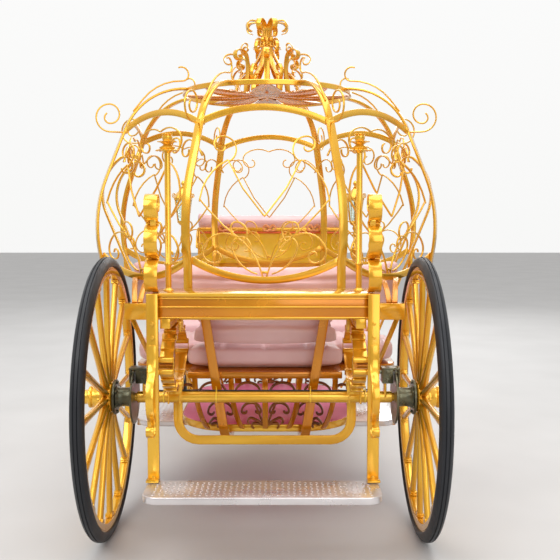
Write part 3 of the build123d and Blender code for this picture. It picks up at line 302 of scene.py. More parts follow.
# runs as a bender sets them: (length, 0) is straight, (radius, degrees) turns, and left is positive
def bendBar(name, plane, start, heading, runs, thickness, width, edge=0.0015, arcStep=9):
    origin, across, up = plane
    normal = across.cross(up)
    at = origin + across * start[0] + up * start[1]
    along = across * cos(radians(heading)) + up * sin(radians(heading))
    facing = Matrix((normal.cross(along), normal, along)).transposed()
    bpy.ops.mesh.primitive_plane_add(size=1, location=at, rotation=facing.to_euler())
    bar = bpy.context.object
    bar.name = name
    bar.scale = (thickness, width, 1)
    settle(bar)
    openMesh(bar)
    for size, angle in runs:
        along = across * cos(radians(heading)) + up * sin(radians(heading))
        if angle == 0:
            bpy.ops.mesh.extrude_region_move(TRANSFORM_OT_translate={"value": along * size})
            at = at + along * size
        else:
            side = 1 if angle > 0 else -1
            centre = at + normal.cross(along) * (size * side)
            steps = max(2, ceil(abs(angle) / arcStep))
            bpy.ops.mesh.spin(steps=steps, angle=-radians(angle), center=centre, axis=normal)
            at = centre + Matrix.Rotation(radians(angle), 3, normal) @ (at - centre)
            heading = heading + angle
    closeMesh()
    pointOut(bar)
    if edge:
        roundEdges(bar, edge)
    return bar


# a profile that is the same on both sides of its middle, from its first half
def bothWays(firstHalf):
    return firstHalf + [(-along, out) for along, out in reversed(firstHalf)]


# a turned piece: points are (along the axis, radius), closed if the first comes again at the end
def turnedPiece(name, points, centre, axis, steps=64, smooth=35):
    out = Vector((0, 0, 1)) if abs(axis.z) < 0.5 else Vector((1, 0, 0))
    first = centre + axis * points[0][0] + out * points[0][1]
    bpy.ops.mesh.primitive_plane_add(size=0.01, location=first)
    piece = bpy.context.object
    piece.name = name
    settle(piece)
    openMesh(piece, "VERT")
    bpy.ops.mesh.merge(type="CENTER")
    for (lastAlong, lastOut), (along, far) in zip(points, points[1:]):
        step = axis * (along - lastAlong) + out * (far - lastOut)
        bpy.ops.mesh.extrude_vertices_move(TRANSFORM_OT_translate={"value": step})
    bpy.ops.mesh.select_all(action="SELECT")
    bpy.ops.mesh.remove_doubles(threshold=0.00002)
    bpy.ops.mesh.spin(steps=steps, angle=2 * pi, center=centre, axis=axis)
    closeMesh()
    pointOut(piece, 0.00004)
    bpy.ops.object.shade_smooth_by_angle(angle=radians(smooth))
    return piece


# a copy of a CAD node, with its flat faces made whole again and its edges eased
def eased(name, node, edge, limit=35):
    piece = nodes[node].copy()
    piece.data = nodes[node].data.copy()
    bpy.context.collection.objects.link(piece)
    piece.name = name
    piece.parent = None
    for key in list(piece.keys()):
        del piece[key]
    openMesh(piece)
    bpy.ops.mesh.remove_doubles(threshold=0.00005)
    bpy.ops.mesh.dissolve_limited(angle_limit=radians(1.5))
    closeMesh()
    if edge:
        roundEdges(piece, edge, 2, limit)
    return piece


# a small block with eased edges, for clips, bolts and straps
def block(name, centre, size, edge=0.001, turn=0.0, axis="Y"):
    bpy.ops.mesh.primitive_cube_add(size=1, location=centre)
    piece = bpy.context.object
    piece.name = name
    piece.scale = size
    settle(piece)
    if turn:
        openMesh(piece)
        bpy.ops.transform.rotate(value=-radians(turn), orient_axis=axis, center_override=centre)
        closeMesh()
    roundEdges(piece, edge)
    return piece


# a bolt's head: six sides or more, eased at the rim
def boltHead(name, centre, axis, radius, height, sides=6):
    facing = Vector(axis).to_track_quat("Z", "Y").to_euler()
    bpy.ops.mesh.primitive_cylinder_add(
        vertices=sides, radius=radius, depth=height, location=centre, rotation=facing
    )
    piece = bpy.context.object
    piece.name = name
    settle(piece)
    roundEdges(piece, radius * 0.18)
    return piece


# places read from the frame

def boxOf(node):
    low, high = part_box(node)
    return Vector(low), Vector(high)


def middleOf(node):
    low, high = boxOf(node)
    return (low + high) / 2


hair = 0.0003
cageCentre = middleOf("roof_ring")
cageCentre.z = 0
rearWheel = middleOf("rear_tyre_right")
frontWheel = middleOf("front_tyre_right")
panelCount = 8
panelStep = 360 / panelCount
halfStep = panelStep / 2
ribAngles = [halfStep + panelStep * i for i in range(panelCount)]
panelAngles = [panelStep * i for i in range(panelCount)]
closedPanels = [a for a in panelAngles if a % 180]
gold = finishes["gold_paint"]
orange = finishes["orange_gold"]
steel = finishes["hub_steel"]
xAxis = Vector((1, 0, 0))
yAxis = Vector((0, 1, 0))
zAxis = Vector((0, 0, 1))

# wheels

tyre = {"height": 0.042, "width": 0.055}
rim = {"depth": 0.034, "width": 0.040, "ease": 0.005}
spoke = {
    "foot": 0.060, "root": 0.030, "rootDeep": 0.040, "tip": 0.036, "tipDeep": 0.027, "clip": 0.05,
    "sunk": 0.004, "waist": 0.20, "slim": 0.10,
}
hub = {"half": 0.026, "nose": 0.140, "shoulder": 0.077, "bolts": 8}
wheels = [
    # axle, centre of the right wheel, spokes, inner end of the hub
    ("rear", rearWheel, 16, 0.028),
    ("front", frontWheel, 12, 0.048),
]


def tyrePiece(name, centre, radius):
    half = tyre["width"] / 2
    bead = radius - tyre["height"]
    firstHalf = [
        (-half * 0.86, bead), (-half, bead + 0.004), (-half, bead + 0.011), (-half * 0.95, bead + 0.018),
        (-half * 0.80, bead + 0.029), (-half * 0.52, radius - 0.0035), (-half * 0.34, radius - 0.001),
        (-half * 0.30, radius - 0.0045), (-half * 0.22, radius - 0.0045), (-half * 0.18, radius),
    ]
    return turnedPiece(name, bothWays(firstHalf) + firstHalf[:1], centre, xAxis, 128, 40)


def felloePiece(name, centre, radius):
    outer = radius - tyre["height"] - hair
    inner = outer - rim["depth"]
    half = rim["width"] / 2
    ease = rim["ease"]
    firstHalf = [
        (-half + ease, inner), (-half + ease * 0.3, inner + ease * 0.3), (-half, inner + ease),
        (-half, outer - 0.007), (-half + 0.002, outer - 0.006), (-half + 0.002, outer),
    ]
    return turnedPiece(name, bothWays(firstHalf) + firstHalf[:1], centre, xAxis, 96, 40)


def hubPiece(name, centre, inner):
    profile = [
        (-inner, 0), (-inner, 0.046), (-inner + 0.003, 0.049), (-hub["half"] - 0.001, 0.050),
        (-hub["half"] + 0.001, 0.062), (-0.020, 0.0665), (-0.010, 0.0675), (0.010, 0.0675), (0.020, 0.0665),
        (hub["half"] - 0.001, 0.062), (hub["half"] + 0.001, 0.051), (0.038, 0.0495), (0.050, 0.0435),
        (0.060, 0.0425), (0.066, 0.0465), (0.070, 0.0478), (hub["shoulder"], 0.0465), (0.079, 0.036),
        (0.086, 0.0315), (0.112, 0.0305), (0.118, 0.0325), (0.128, 0.0325), (0.134, 0.029),
        (0.138, 0.020), (hub["nose"], 0.010), (hub["nose"], 0),
    ]
    return turnedPiece(name, profile, centre, xAxis, 48, 30)


def spokePiece(name, centre, radius, grow):
    foot = spoke["foot"]
    end = radius - tyre["height"] - rim["depth"] + spoke["sunk"]
    bpy.ops.mesh.primitive_cylinder_add(
        vertices=12, radius=1, depth=end - foot, location=(0, 0, (foot + end) / 2),
    )
    piece = bpy.context.object
    piece.name = name
    settle(piece)
    for vertex in piece.data.vertices:
        low = vertex.co.z < (foot + end) / 2
        vertex.co.x *= (spoke["rootDeep"] if low else spoke["tipDeep"]) / 2
        vertex.co.y *= (spoke["root"] * grow if low else spoke["tip"] * grow) / 2
    clearMesh(piece)
    for edge in piece.data.edges:
        a, b = (piece.data.vertices[v].co for v in edge.vertices)
        edge.select = abs(a.z - b.z) > 0.01
    bpy.ops.object.mode_set(mode="EDIT")
    bpy.ops.mesh.subdivide(number_cuts=7)
    closeMesh()
    for vertex in piece.data.vertices:
        t = (vertex.co.z - foot) / (end - foot)
        waist = 1 - spoke["waist"] * sin(pi * min(1, t * 1.15)) * (1 - t) - spoke["slim"] * sin(pi * t)
        vertex.co.y *= waist
        vertex.co.x *= waist
    roundEdges(piece, 0.0008, 1)
    clip = block(name + "Clip", (0, 0, end - 0.010), (0.030, spoke["clip"], 0.005), 0.001)
    collar = block(name + "Collar", (0, 0, end - 0.016), (0.031, 0.040 * grow, 0.012), 0.002)
    bolts = [
        boltHead(name + "Bolt", (0, side * 0.021, end - 0.014), (0, 0, -1), 0.0045, 0.006)
        for side in (-1, 1)
    ]
    whole = joined(name, [piece, clip, collar, *bolts])
    whole.data.transform(Matrix.Translation(centre))
    return whole


for axle, centre, spokeCount, hubInner in wheels:
    radius = centre.z
    rubber = tyrePiece(f"{axle}TyreRight", centre, radius)
    ring = felloePiece(f"{axle}Felloe", centre, radius)
    nave = hubPiece(f"{axle}Nave", centre, hubInner)
    oneSpoke = spokePiece(f"{axle}Spoke", centre, radius, 1.0 if axle == "rear" else 0.9)
    spokes = [oneSpoke] + turned(
        oneSpoke, centre, "X", [360 * i / spokeCount for i in range(1, spokeCount)],
    )
    bolt = boltHead(f"{axle}HubBolt", centre + Vector((0.029, 0, 0.0565)), (1, 0, 0), 0.006, 0.008)
    bolts = [bolt] + turned(bolt, centre, "X", [360 * i / hub["bolts"] for i in range(1, hub["bolts"])])
    pin = boltHead(f"{axle}CapBolt", centre + Vector((hub["nose"] - 0.004, 0, 0)), (1, 0, 0), 0.015, 0.008)
    wheel = joined(f"{axle}WheelRight", [ring, nave, *spokes, *bolts, pin])
    for side in ("right", "left"):
        tyrePart = rubber if side == "right" else mirrored(rubber)
        wheelPart = wheel if side == "right" else mirrored(wheel)
        tyrePart.name = f"{axle}Tyre_{side}"
        wheelPart.name = f"{axle}Wheel_{side}"
        body = f"{axle}_wheel_{side}"
        placed(tyrePart, body, "black_tyre", finishes["black_tyre"], f"{axle}_tyre_{side}")
        placed(wheelPart, body, "gold_paint", gold, f"{axle}_rim_{side}")
print("wheels made")

# steel hubs, discs and calipers

brake = {"discInner": 0.119, "disc": 0.115, "thick": 0.008, "drum": 0.042, "flange": 0.075}
discPlace = rearWheel - xAxis * brake["discInner"]
hubProfile = [
    (0.0, 0.019), (0.0, brake["disc"] - 0.0015), (0.0015, brake["disc"]), (0.0065, brake["disc"]),
    (brake["thick"], brake["disc"] - 0.0015), (brake["thick"], 0.050), (0.012, 0.046),
    (0.020, brake["drum"]),
    (0.034, 0.0405), (0.050, 0.0405), (0.066, brake["drum"]), (0.073, 0.046), (0.079, 0.049),
    (0.0792, brake["flange"] - 0.002), (0.0812, brake["flange"]), (0.0888, brake["flange"]),
    (0.0905, brake["flange"] - 0.002), (0.0905, 0.019), (0.0, 0.019),
]
steelHub = turnedPiece("rearHubTurned", hubProfile, discPlace, xAxis, 64, 30)
hubBolt = boltHead("flangeBolt", discPlace + Vector((0.0765, 0, 0.063)), (-1, 0, 0), 0.0075, 0.007)
hubBolts = [hubBolt] + turned(hubBolt, discPlace, "X", [60 * i for i in range(1, 6)])
steelHub = joined("rearHub_right", [steelHub, *hubBolts])
steelHubLeft = mirrored(steelHub)
steelHubLeft.name = "rearHub_left"
placed(steelHub, "rear_wheel_right", "hub_steel", steel, "rear_hub_right")
placed(steelHubLeft, "rear_wheel_left", "hub_steel", steel, "rear_hub_left")

caliperLow, caliperHigh = boxOf("brakes")
caliper = {"width": 0.077, "height": 0.068, "length": 0.070, "gap": 0.018, "bolts": 0.016, "nuts": 0.036}
gapHalf = caliper["gap"] / 2
caliperX = caliperHigh.x - caliper["width"] / 2
caliperInnerX = caliperHigh.x - caliper["width"]
caliperZ = (caliperLow.z + caliperHigh.z) / 2
slotX = rearWheel.x - brake["discInner"] + brake["thick"] / 2
roof = block(
    "caliperRoof", (caliperX, rearWheel.y, caliperHigh.z - 0.005),
    (caliper["width"], caliper["length"], 0.010), 0.003
)
inner = block(
    "caliperInner",
    ((caliperInnerX + slotX - gapHalf) / 2, rearWheel.y, caliperZ),
    (slotX - gapHalf - caliperInnerX, caliper["length"], caliper["height"] - 0.002),
    0.005,
)
outer = block(
    "caliperOuter",
    ((slotX + gapHalf + caliperHigh.x) / 2, rearWheel.y, caliperZ),
    (caliperHigh.x - slotX - gapHalf, caliper["length"] * 0.8, caliper["height"] - 0.002),
    0.005,
)
parts = [roof, inner, outer]
boltX = caliperX - caliper["bolts"]
boltY = rearWheel.y - caliper["length"] / 2 - 0.001
for rise in (-caliper["bolts"], caliper["bolts"]):
    spot = Vector((boltX, boltY, caliperLow.z + caliper["height"] / 2 + rise))
    parts.append(boltHead("caliperBolt", spot, (0, -1, 0), 0.009, 0.010))
    parts.append(boltHead("caliperNut", spot + xAxis * caliper["nuts"], (0, -1, 0), 0.007, 0.006))
hoseStub = turnedPiece(
    "hoseStub",
    [(0, 0), (0, 0.008), (0.012, 0.008), (0.013, 0.006), (0.022, 0.006), (0.022, 0)],
    Vector((caliperInnerX + 0.004, rearWheel.y - 0.01, caliperHigh.z - 0.02)),
    -xAxis,
    16,
)
brakeRight = joined("brake_right", [*parts, hoseStub])
brakePair = joined("brakeCalipers", bothSides(brakeRight))
placed(brakePair, "carriage", "hub_steel", steel, "brakes")
print("brakes made")

# springs

leaf = {
    "thick": 0.008, "pitch": 0.0078, "width": 0.055, "shorter": [0, 7, 14, 21], "half": 0.15, "span": 0.272,
    "clips": 0.15,
}
eyeRise = 0.024
leafRise = leaf["half"] - 3 * leaf["pitch"] - leaf["thick"] / 2 - eyeRise
leafRadius = (leaf["span"] ** 2 + leafRise**2) / (2 * leafRise)
leafAngle = degrees(asin(leaf["span"] / leafRadius))
saddleRise = 0.0303
clamp = {"apart": 0.026, "down": 0.018, "size": (0.070, 0.010, 0.044), "nutOut": 0.030, "nutDown": 0.024}
cheek = {"out": 0.0305, "size": (0.003, 0.024, 0.074)}
eyeProfile = bothWays([(-0.032, 0), (-0.032, 0.008), (-0.029, 0.010), (-0.027, 0.013)])
springRows = [
    # node, body, x, centre of the axle
    ("rear_springs", "carriage", 0.385, rearWheel),
    ("front_springs", "turntable", 0.360, frontWheel),
]
for node, body, x, axleCentre in springRows:
    middle = axleCentre.z + saddleRise + leaf["half"]
    plane = sidePlane(x, axleCentre.y, middle)
    parts = []
    for up in (1, -1):
        for number, shorter in enumerate(leaf["shorter"]):
            angle = leafAngle - shorter
            bend = leafRadius + number * leaf["pitch"]
            pivot = eyeRise + leafRise - leafRadius
            end = (-bend * sin(radians(angle)), up * (pivot + bend * cos(radians(angle))))
            width = leaf["width"] - 0.0012 * number
            parts.append(
                bendBar(
                    "leaf", plane, end, up * angle, [(bend, -up * 2 * angle)], leaf["thick"] - 0.0006,
                    width, 0.0012, 5,
                )
            )
        clampZ = middle + up * (leaf["half"] - clamp["down"])
        for offset in (-clamp["apart"], clamp["apart"]):
            parts.append(block("clamp", (x, axleCentre.y + offset, clampZ), clamp["size"], 0.003))
            for side in (-1, 1):
                parts.append(
                    boltHead(
                        "clampNut",
                        (x + side * clamp["nutOut"], axleCentre.y + offset, clampZ - up * clamp["nutDown"]),
                        (0, 0, -up), 0.007, 0.008,
                    )
                )
        for reach in (-leaf["clips"], leaf["clips"]):
            tilt = up * degrees(asin(reach / leafRadius))
            clipRadius = leafRadius + leaf["pitch"] * 0.6
            z = middle + up * (eyeRise + leafRise - leafRadius + clipRadius * cos(asin(reach / leafRadius)))
            clipCentre = Vector((x, axleCentre.y + reach, z))
            parts.append(block("leafClip", clipCentre, (0.062, 0.018, 0.023), 0.002, -tilt, "X"))
    for reach in (-leaf["span"], leaf["span"]):
        for side in (-1, 1):
            cheekSpot = (x + side * cheek["out"], axleCentre.y + reach, middle)
            parts.append(block("cheek", cheekSpot, cheek["size"], 0.001))
        for up in (-1, 1):
            eyeSpot = Vector((x, axleCentre.y + reach, middle + up * eyeRise))
            parts.append(turnedPiece("springEye", eyeProfile, eyeSpot, xAxis, 20))
    spring = joined(node + "Right", parts)
    pair = joined(node + "Dressed", bothSides(spring))
    placed(pair, body, "orange_gold", gold, node)
print("springs made")

# cage: ribs, arches, bows, straps and ring

ringLow, ringHigh = boxOf("roof_ring")
beamTop = boxOf("chassis")[1].z
cage = {
    "footRadius": 0.860, "ribThick": 0.012, "ribWide": 0.040, "footRise": 0.070,
    "ribRuns": [(0.060, 0), (0.250, -12), (0.650, 34), (0.245, 0)],
    "strapRadius": 0.340, "strapTurn": 66, "strapWide": 0.034,
    "archRise": 0.066, "archWide": 0.030, "barThick": 0.010,
    "bowRise": 0.115, "bowDrop": 0.092, "bowWide": 0.032,
    "edge": 0.0035,
}
ribFoot = beamTop + cage["footRise"]


def endOf(heading, runs):
    across = along = 0.0
    for size, turn in runs:
        if turn == 0:
            across += size * cos(radians(heading))
            along += size * sin(radians(heading))
        else:
            side = 1 if turn > 0 else -1
            across += side * size * (sin(radians(heading + turn)) - sin(radians(heading)))
            along += side * size * (cos(radians(heading)) - cos(radians(heading + turn)))
        heading += turn
    return across, along


ribEnd = endOf(90, cage["ribRuns"])
shoulder = cage["footRadius"] + ribEnd[0], ribFoot + ribEnd[1]
ribLean = 90 + sum(turn for size, turn in cage["ribRuns"])
ringRadius = (ringHigh.x - ringLow.x) / 2
strapBend = endOf(ribLean, [(cage["strapRadius"], cage["strapTurn"])])
strapStraight = (shoulder[0] + strapBend[0] - ringRadius) / -cos(radians(ribLean + cage["strapTurn"]))
strapRuns = [(cage["strapRadius"], cage["strapTurn"]), (strapStraight + 0.004, 0)]
radialPlane = (cageCentre, xAxis, zAxis)
ribApothem = cage["footRadius"] * cos(radians(halfStep))
standing = [a for a in ribAngles if abs(sin(radians(a))) > 0.7]
hanging = [a for a in ribAngles if a not in standing]

ribStart = (cage["footRadius"], ribFoot)
shortRib = bendBar(
    "shortRib", radialPlane, ribStart, 90, cage["ribRuns"], cage["ribThick"], cage["ribWide"], cage["edge"],
    4,
)
footLength = ribFoot - beamTop - hair
longRuns = [(footLength, 0)] + cage["ribRuns"]
longStart = (cage["footRadius"], beamTop + hair)
longRib = bendBar(
    "longRib", radialPlane, longStart, 90, longRuns, cage["ribThick"], cage["ribWide"], cage["edge"], 4,
)
footPlate = block(
    "ribFootPlate", cageCentre + Vector((cage["footRadius"] - 0.022, 0, beamTop + 0.004)),
    (0.050, 0.040, 0.007), 0.002,
)
footBolts = [
    boltHead(
        "ribFootBolt", cageCentre + Vector((cage["footRadius"] - 0.034, y, beamTop + 0.010)), (0, 0, 1),
        0.0065, 0.007,
    )
    for y in (-0.011, 0.011)
]
longRib = joined("longRib", [longRib, footPlate, *footBolts])
footTip = block(
    "ribTip", cageCentre + Vector((cage["footRadius"], 0, ribFoot + 0.002)), (0.020, 0.046, 0.012), 0.003,
)
shortRib = joined("shortRib", [shortRib, footTip])
ribs = shareOut(shortRib, cageCentre, hanging) + shareOut(longRib, cageCentre, standing)
gilded("ribs", ribs, "cage_ribs")

strapStart = (shoulder[0] - hair, shoulder[1] + hair)
strap = bendBar(
    "strap", radialPlane, strapStart, ribLean, strapRuns, cage["ribThick"], cage["strapWide"], cage["edge"],
    5,
)
lap = block(
    "lap",
    cageCentre + Vector((shoulder[0] - 0.004, 0, shoulder[1] - 0.004)),
    (0.019, 0.042, 0.030), 0.003, 90 - ribLean, "Y",
)
gilded("straps", shareOut(joined("strap", [strap, lap]), cageCentre, ribAngles), "roof_straps")


def panelPlane(apothem, level=0.0, lean=0.0):
    out = Vector((cos(radians(lean)), 0, sin(radians(lean))))
    origin = cageCentre + Vector((apothem, 0, level))
    return origin, yAxis, out.cross(yAxis)


archApothem = shoulder[0] * cos(radians(halfStep))
archHalf = shoulder[0] * sin(radians(halfStep))
archRadius = (archHalf**2 + cage["archRise"] ** 2) / (2 * cage["archRise"])
archAngle = degrees(asin(archHalf / archRadius))
archPlane = panelPlane(archApothem)
archStart = (archHalf - 0.008, shoulder[1] - cage["archWide"] / 4)
arch = bendBar(
    "arch", archPlane, archStart, 180 - archAngle, [(archRadius - 0.008, 2 * archAngle)], cage["archWide"],
    cage["barThick"], 0.003, 3,
)
gilded("arches", shareOut(arch, cageCentre, panelAngles), "cage_arches")

bowTop = ribFoot + cage["bowRise"]
bowHalf = ribApothem * tan(radians(halfStep))
bowRadius = (bowHalf**2 + cage["bowDrop"] ** 2) / (2 * cage["bowDrop"])
bowAngle = degrees(asin(bowHalf / bowRadius))
bowPlane = panelPlane(ribApothem)
bow = bendBar(
    "bow", bowPlane, (-bowHalf + 0.012, bowTop), -bowAngle, [(bowRadius - 0.0115, 2 * bowAngle)],
    cage["bowWide"], cage["barThick"], 0.003, 3,
)
gilded("bows", shareOut(bow, cageCentre, closedPanels), "base_bows")

band = (ringHigh.z - ringLow.z) / 2
ringProfile = [
    (-band + 0.003, ringRadius), (band - 0.003, ringRadius), (band, ringRadius - 0.003),
    (band, ringRadius - 0.009),
    (band - 0.003, ringRadius - 0.012), (-band + 0.003, ringRadius - 0.012), (-band, ringRadius - 0.009),
    (-band, ringRadius - 0.003), (-band + 0.003, ringRadius),
]
ringCentre = cageCentre + zAxis * (ringLow.z + ringHigh.z) / 2
ring = turnedPiece("roofRing", ringProfile, ringCentre, zAxis, 96, 40)
placed(ring, "carriage", "gold_paint", gold, "roof_ring")
print("cage made")

# scrollwork on the cage

wire = {"thick": 0.008, "edge": 0.0026}
shoulderSlope = radians(ribLean - 90)
tendrilDrop = cage["ribThick"] + 0.004
tendrilFoot = shoulder[0] + tendrilDrop * tan(shoulderSlope) + cage["ribThick"] / 2 / cos(shoulderSlope)
tendrilRuns = [(0.060, 0), (0.066, 180), (0.046, 180), (0.026, 150)]
tendril = bendBar(
    "tendril", radialPlane, (tendrilFoot - 0.002, shoulder[1] - cage["ribThick"]), 0, tendrilRuns,
    wire["thick"], wire["thick"], wire["edge"], 15,
)
gilded("tendrilsDressed", shareOut(tendril, cageCentre, ribAngles), "tendrils")

strapCentre = (
    shoulder[0] - cage["strapRadius"] * sin(radians(ribLean)),
    shoulder[1] + cage["strapRadius"] * cos(radians(ribLean)),
)
curlAngle = ribLean - 90 + 16.5
curlOut = cage["strapRadius"] + cage["ribThick"] / 2 + wire["thick"] / 2 - 0.001
curlStart = (
    strapCentre[0] + curlOut * cos(radians(curlAngle)), strapCentre[1] + curlOut * sin(radians(curlAngle)),
)
curlRuns = [(0.080, 0), (0.260, 50), (0.034, -210)]
curl = bendBar(
    "strapCurl", radialPlane, curlStart, curlAngle + 90, curlRuns, wire["thick"], wire["thick"],
    wire["edge"], 12,
)
gilded("strapCurls", shareOut(curl, cageCentre, ribAngles), "strap_curls")

bowCrest = bowTop - cage["bowDrop"] + cage["bowWide"] / 2
# a kind of bar: thickness, width, how far its edges are eased, degrees in a step of its arcs
scrollBar = (0.007, 0.009, 0.0022, 12)
hookRuns = [(0.046, 0), (0.250, -38), (0.095, -105), (0.048, -120), (0.024, -150), (0.014, -120)]
panelBars = [
    # level and lean of the plane, start, heading, runs
    (0, 0, (0.007, bowCrest - 0.002), 72, hookRuns),
    (0, 0, (0.112, bowCrest + 0.168), 36, [(0.700, 14), (0.063, 0)]),
    (0, 0, (0.098, bowCrest + 0.150), 150, [(0.046, -150), (0.024, -150)]),
    (0, 0, (0.030, bowCrest + 0.012), 14, [(0.150, 62), (0.040, 200), (0.018, 120)]),
    (bowCrest + 0.330, 12, (0.157, 0.176), -27, [(0.221, -55), (0.018, 0)]),
    (bowCrest + 0.330, 12, (0.157, 0.176), -112, [(0.803, -20), (0.016, 0)]),
    (bowCrest + 0.330, 12, (0.150, 0.170), 148, [(0.060, -150), (0.034, -160), (0.018, -120)]),
]
halfPanel = [
    bendBar("panelBar", panelPlane(ribApothem, level, lean), start, heading, runs, *scrollBar)
    for level, lean, start, heading, runs in panelBars
]
half = joined("halfPanel", halfPanel)
flip = Matrix.Translation(cageCentre) @ Matrix.Scale(-1, 4, yAxis) @ Matrix.Translation(-cageCentre)
panel = joined("panelScrolls", [half, copied(half, flip)])
collarRing = block(
    "panelCollar", cageCentre + Vector((ribApothem, 0, bowCrest + 0.020)), (0.013, 0.026, 0.012), 0.003,
)
panel = joined("panelScrolls", [panel, collarRing])
gilded("panelScrollsAll", shareOut(panel, cageCentre, closedPanels), "panel_scrolls")

underArch = [
    # thin wavy bands that hang below each arch, drawn for half a panel
    ((0.0, shoulder[1] - 0.030), 28, [(0.130, -62), (0.046, -150), (0.022, -170)]),
    ((0.298, shoulder[1] - 0.155), 118, [(0.180, 30), (0.050, 120), (0.024, 200)]),
]
waves = [
    bendBar("archWave", panelPlane(archApothem, 0, 0), start, heading, runs, *scrollBar)
    for start, heading, runs in underArch
]
wave = joined("halfWave", waves)
wave = joined("wave", [wave, copied(wave, flip)])
backless = [a for a in panelAngles if a != 270]
gilded("archWaves", shareOut(wave, cageCentre, backless))

# curved props from the ends of the cross beams to the bows of the slanting panels
prop = {"x": 0.548, "apart": 0.012, "spread": 0.055, "sweep": 50, "thick": 0.010, "wide": 0.024}
props = []
for facing in (-1, 1):
    beamY = cageCentre.y + facing * ribApothem
    for which in (1, -1):
        foot = Vector((prop["x"] + which * prop["apart"], beamY, beamTop - 0.002))
        bowAt = Vector((cos(radians(45)), facing * sin(radians(45)), 0)) * ribApothem
        side = Vector((sin(radians(45)), -facing * cos(radians(45)), 0)) * which * prop["spread"]
        head = Vector((cageCentre.x, cageCentre.y, bowTop - cage["bowDrop"] - 0.006)) + bowAt + side
        reach = head - foot
        plane = (Vector((foot.x, foot.y, 0)), Vector((reach.x, reach.y, 0)).normalized(), zAxis)
        flat = Vector((reach.x, reach.y)).length
        chord = sqrt(flat**2 + reach.z**2)
        rise = degrees(atan2(reach.z, flat))
        bend = chord / (2 * sin(radians(prop["sweep"] / 2)))
        curve = [(bend, -prop["sweep"])]
        strut = bendBar(
            "prop", plane, (0, foot.z), rise + prop["sweep"] / 2, curve, prop["thick"], prop["wide"],
            0.0025, 6,
        )
        props += bothSides(strut)
placed(joined("beamProps", props), "carriage", "orange_gold", orange)
print("cage scrolls made")

# crown of scrolls and the petals below it

petalTop = ringHigh.z - (ringHigh.z - ringLow.z) / 2
crownBar = (0.006, 0.027, 0.0018, 9)
leafBar = (0.004, 0.018, 0.0012, 14)
highRuns = [(0.130, 55), (0.230, -60), (0.060, -90), (0.028, -170)]
lowRuns = [(0.300, 14), (0.200, -29), (0.045, -110), (0.024, -150), (0.013, -150)]
high = bendBar("highScroll", radialPlane, (0.172, petalTop), 90, highRuns, *crownBar)
low = bendBar("lowScroll", radialPlane, (0.150, petalTop), 90, lowRuns, *crownBar)
leafRows = [
    # small leaves on the scrolls: start, heading, runs
    ((0.176, petalTop + 0.050), 40, [(0.050, 120), (0.016, 200)]),
    ((0.120, petalTop + 0.190), 20, [(0.034, 130), (0.012, 200)]),
    ((0.075, petalTop + 0.235), 200, [(0.030, -140), (0.012, -200)]),
]
leaves = [
    bendBar("crownLeaf", radialPlane, start, heading, runs, *leafBar)
    for start, heading, runs in leafRows
]
highSet = shareOut(joined("highSet", [high, *leaves]), cageCentre, ribAngles)
lowSet = shareOut(low, cageCentre, panelAngles)
gilded("crownDressed", highSet + lowSet, "crown")

petal = {"reach": ringRadius - 0.0125, "inner": 0.060, "wide": 0.150, "wall": 0.003, "disc": 0.144}
bpy.ops.mesh.primitive_grid_add(x_subdivisions=14, y_subdivisions=8, size=1, location=(0, 0, 0))
petalPiece = bpy.context.object
petalPiece.name = "petal"
petalLong = petal["reach"] - petal["inner"]
for vertex in petalPiece.data.vertices:
    t = vertex.co.x + 0.5
    u = vertex.co.y * 2
    wide = petal["wide"] / 2 * (sin(pi * min(0.995, max(0.005, t))) ** 0.75)
    flute = 0.0045 * cos(u * pi * 3) * sin(pi * t)
    vertex.co = Vector(
        (petal["inner"] + t * petalLong, u * wide, petalTop - 0.004 - 0.010 * abs(u) * sin(pi * t) + flute)
    )
settle(petalPiece)
changed(petalPiece, "SOLIDIFY", thickness=petal["wall"])
bpy.ops.object.shade_smooth_by_angle(angle=radians(50))
petalPiece.data.transform(Matrix.Translation(cageCentre))
pointOut(petalPiece)
petals = shareOut(petalPiece, cageCentre, panelAngles)
petalLine = bendBar(
    "petalVein", radialPlane, (petal["inner"], petalTop - 0.003), 0, [(petalLong - 0.01, 0)], 0.006, 0.006,
    0.002,
)
veins = shareOut(petalLine, cageCentre, panelAngles)
discProfile = [
    (-0.006, 0), (-0.006, 0.120), (-0.010, 0.132), (-0.004, petal["disc"]), (0.0, petal["disc"] - 0.002),
    (0.0, 0),
]
disc = turnedPiece("petalDisc", discProfile, cageCentre + zAxis * petalTop, zAxis, 48, 30)
placed(joined("petals", petals + veins + [disc]), "carriage", "orange_gold", orange, "roof_rosette")
print("crown made")


# rear frame: chassis bars, box, posts, hangers and platform

def bodyOf(node):
    return nodes[node]["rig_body"]


easedRows = [
    # node, edge, slot
    ("chassis", 0.003, "gold_paint"),
    ("floor_joists", 0.002, "orange_gold"),
    ("hangers", 0.003, "gold_paint"),
    ("turntable_upper", 0.002, "gold_paint"),
    ("turntable_lower", 0.002, "gold_paint"),
    ("footboard", 0.003, "tread_plate"),
    ("platform", 0.003, "tread_plate"),
    ("side_steps", 0.003, "tread_plate"),
    ("cabin_floor", 0.003, "pink_carpet"),
    ("floor_ring", 0.003, "gold_paint"),
    ("rear_seat_board", 0.004, "orange_gold"),
    ("front_seat_board", 0.004, "orange_gold"),
    ("rear_hoop", 0.002, "gold_paint"),
    ("driver_box", 0.005, "gold_paint"),
    ("shaft_carrier", 0.002, "gold_paint"),
    ("front_axle", 0.002, "gold_paint"),
    ("shaft_bar", 0.002, "gold_paint"),
]
for node, edge, slotName in easedRows:
    piece = eased(node + "Eased", node, edge)
    placed(piece, bodyOf(node), slotName, finishes[slotName], node)
    # painted shade: the chassis necks below the turntable rail, near the middle, take the darker orange
    # gold for the shade they lie in
    if node == "chassis":
        piece.data.materials.append(orange)
        railFoot = boxOf("turntable_upper")[1].z
        for face in piece.data.polygons:
            face.material_index = 1 if face.center.z < railFoot and abs(face.center.x) < 0.31 else 0

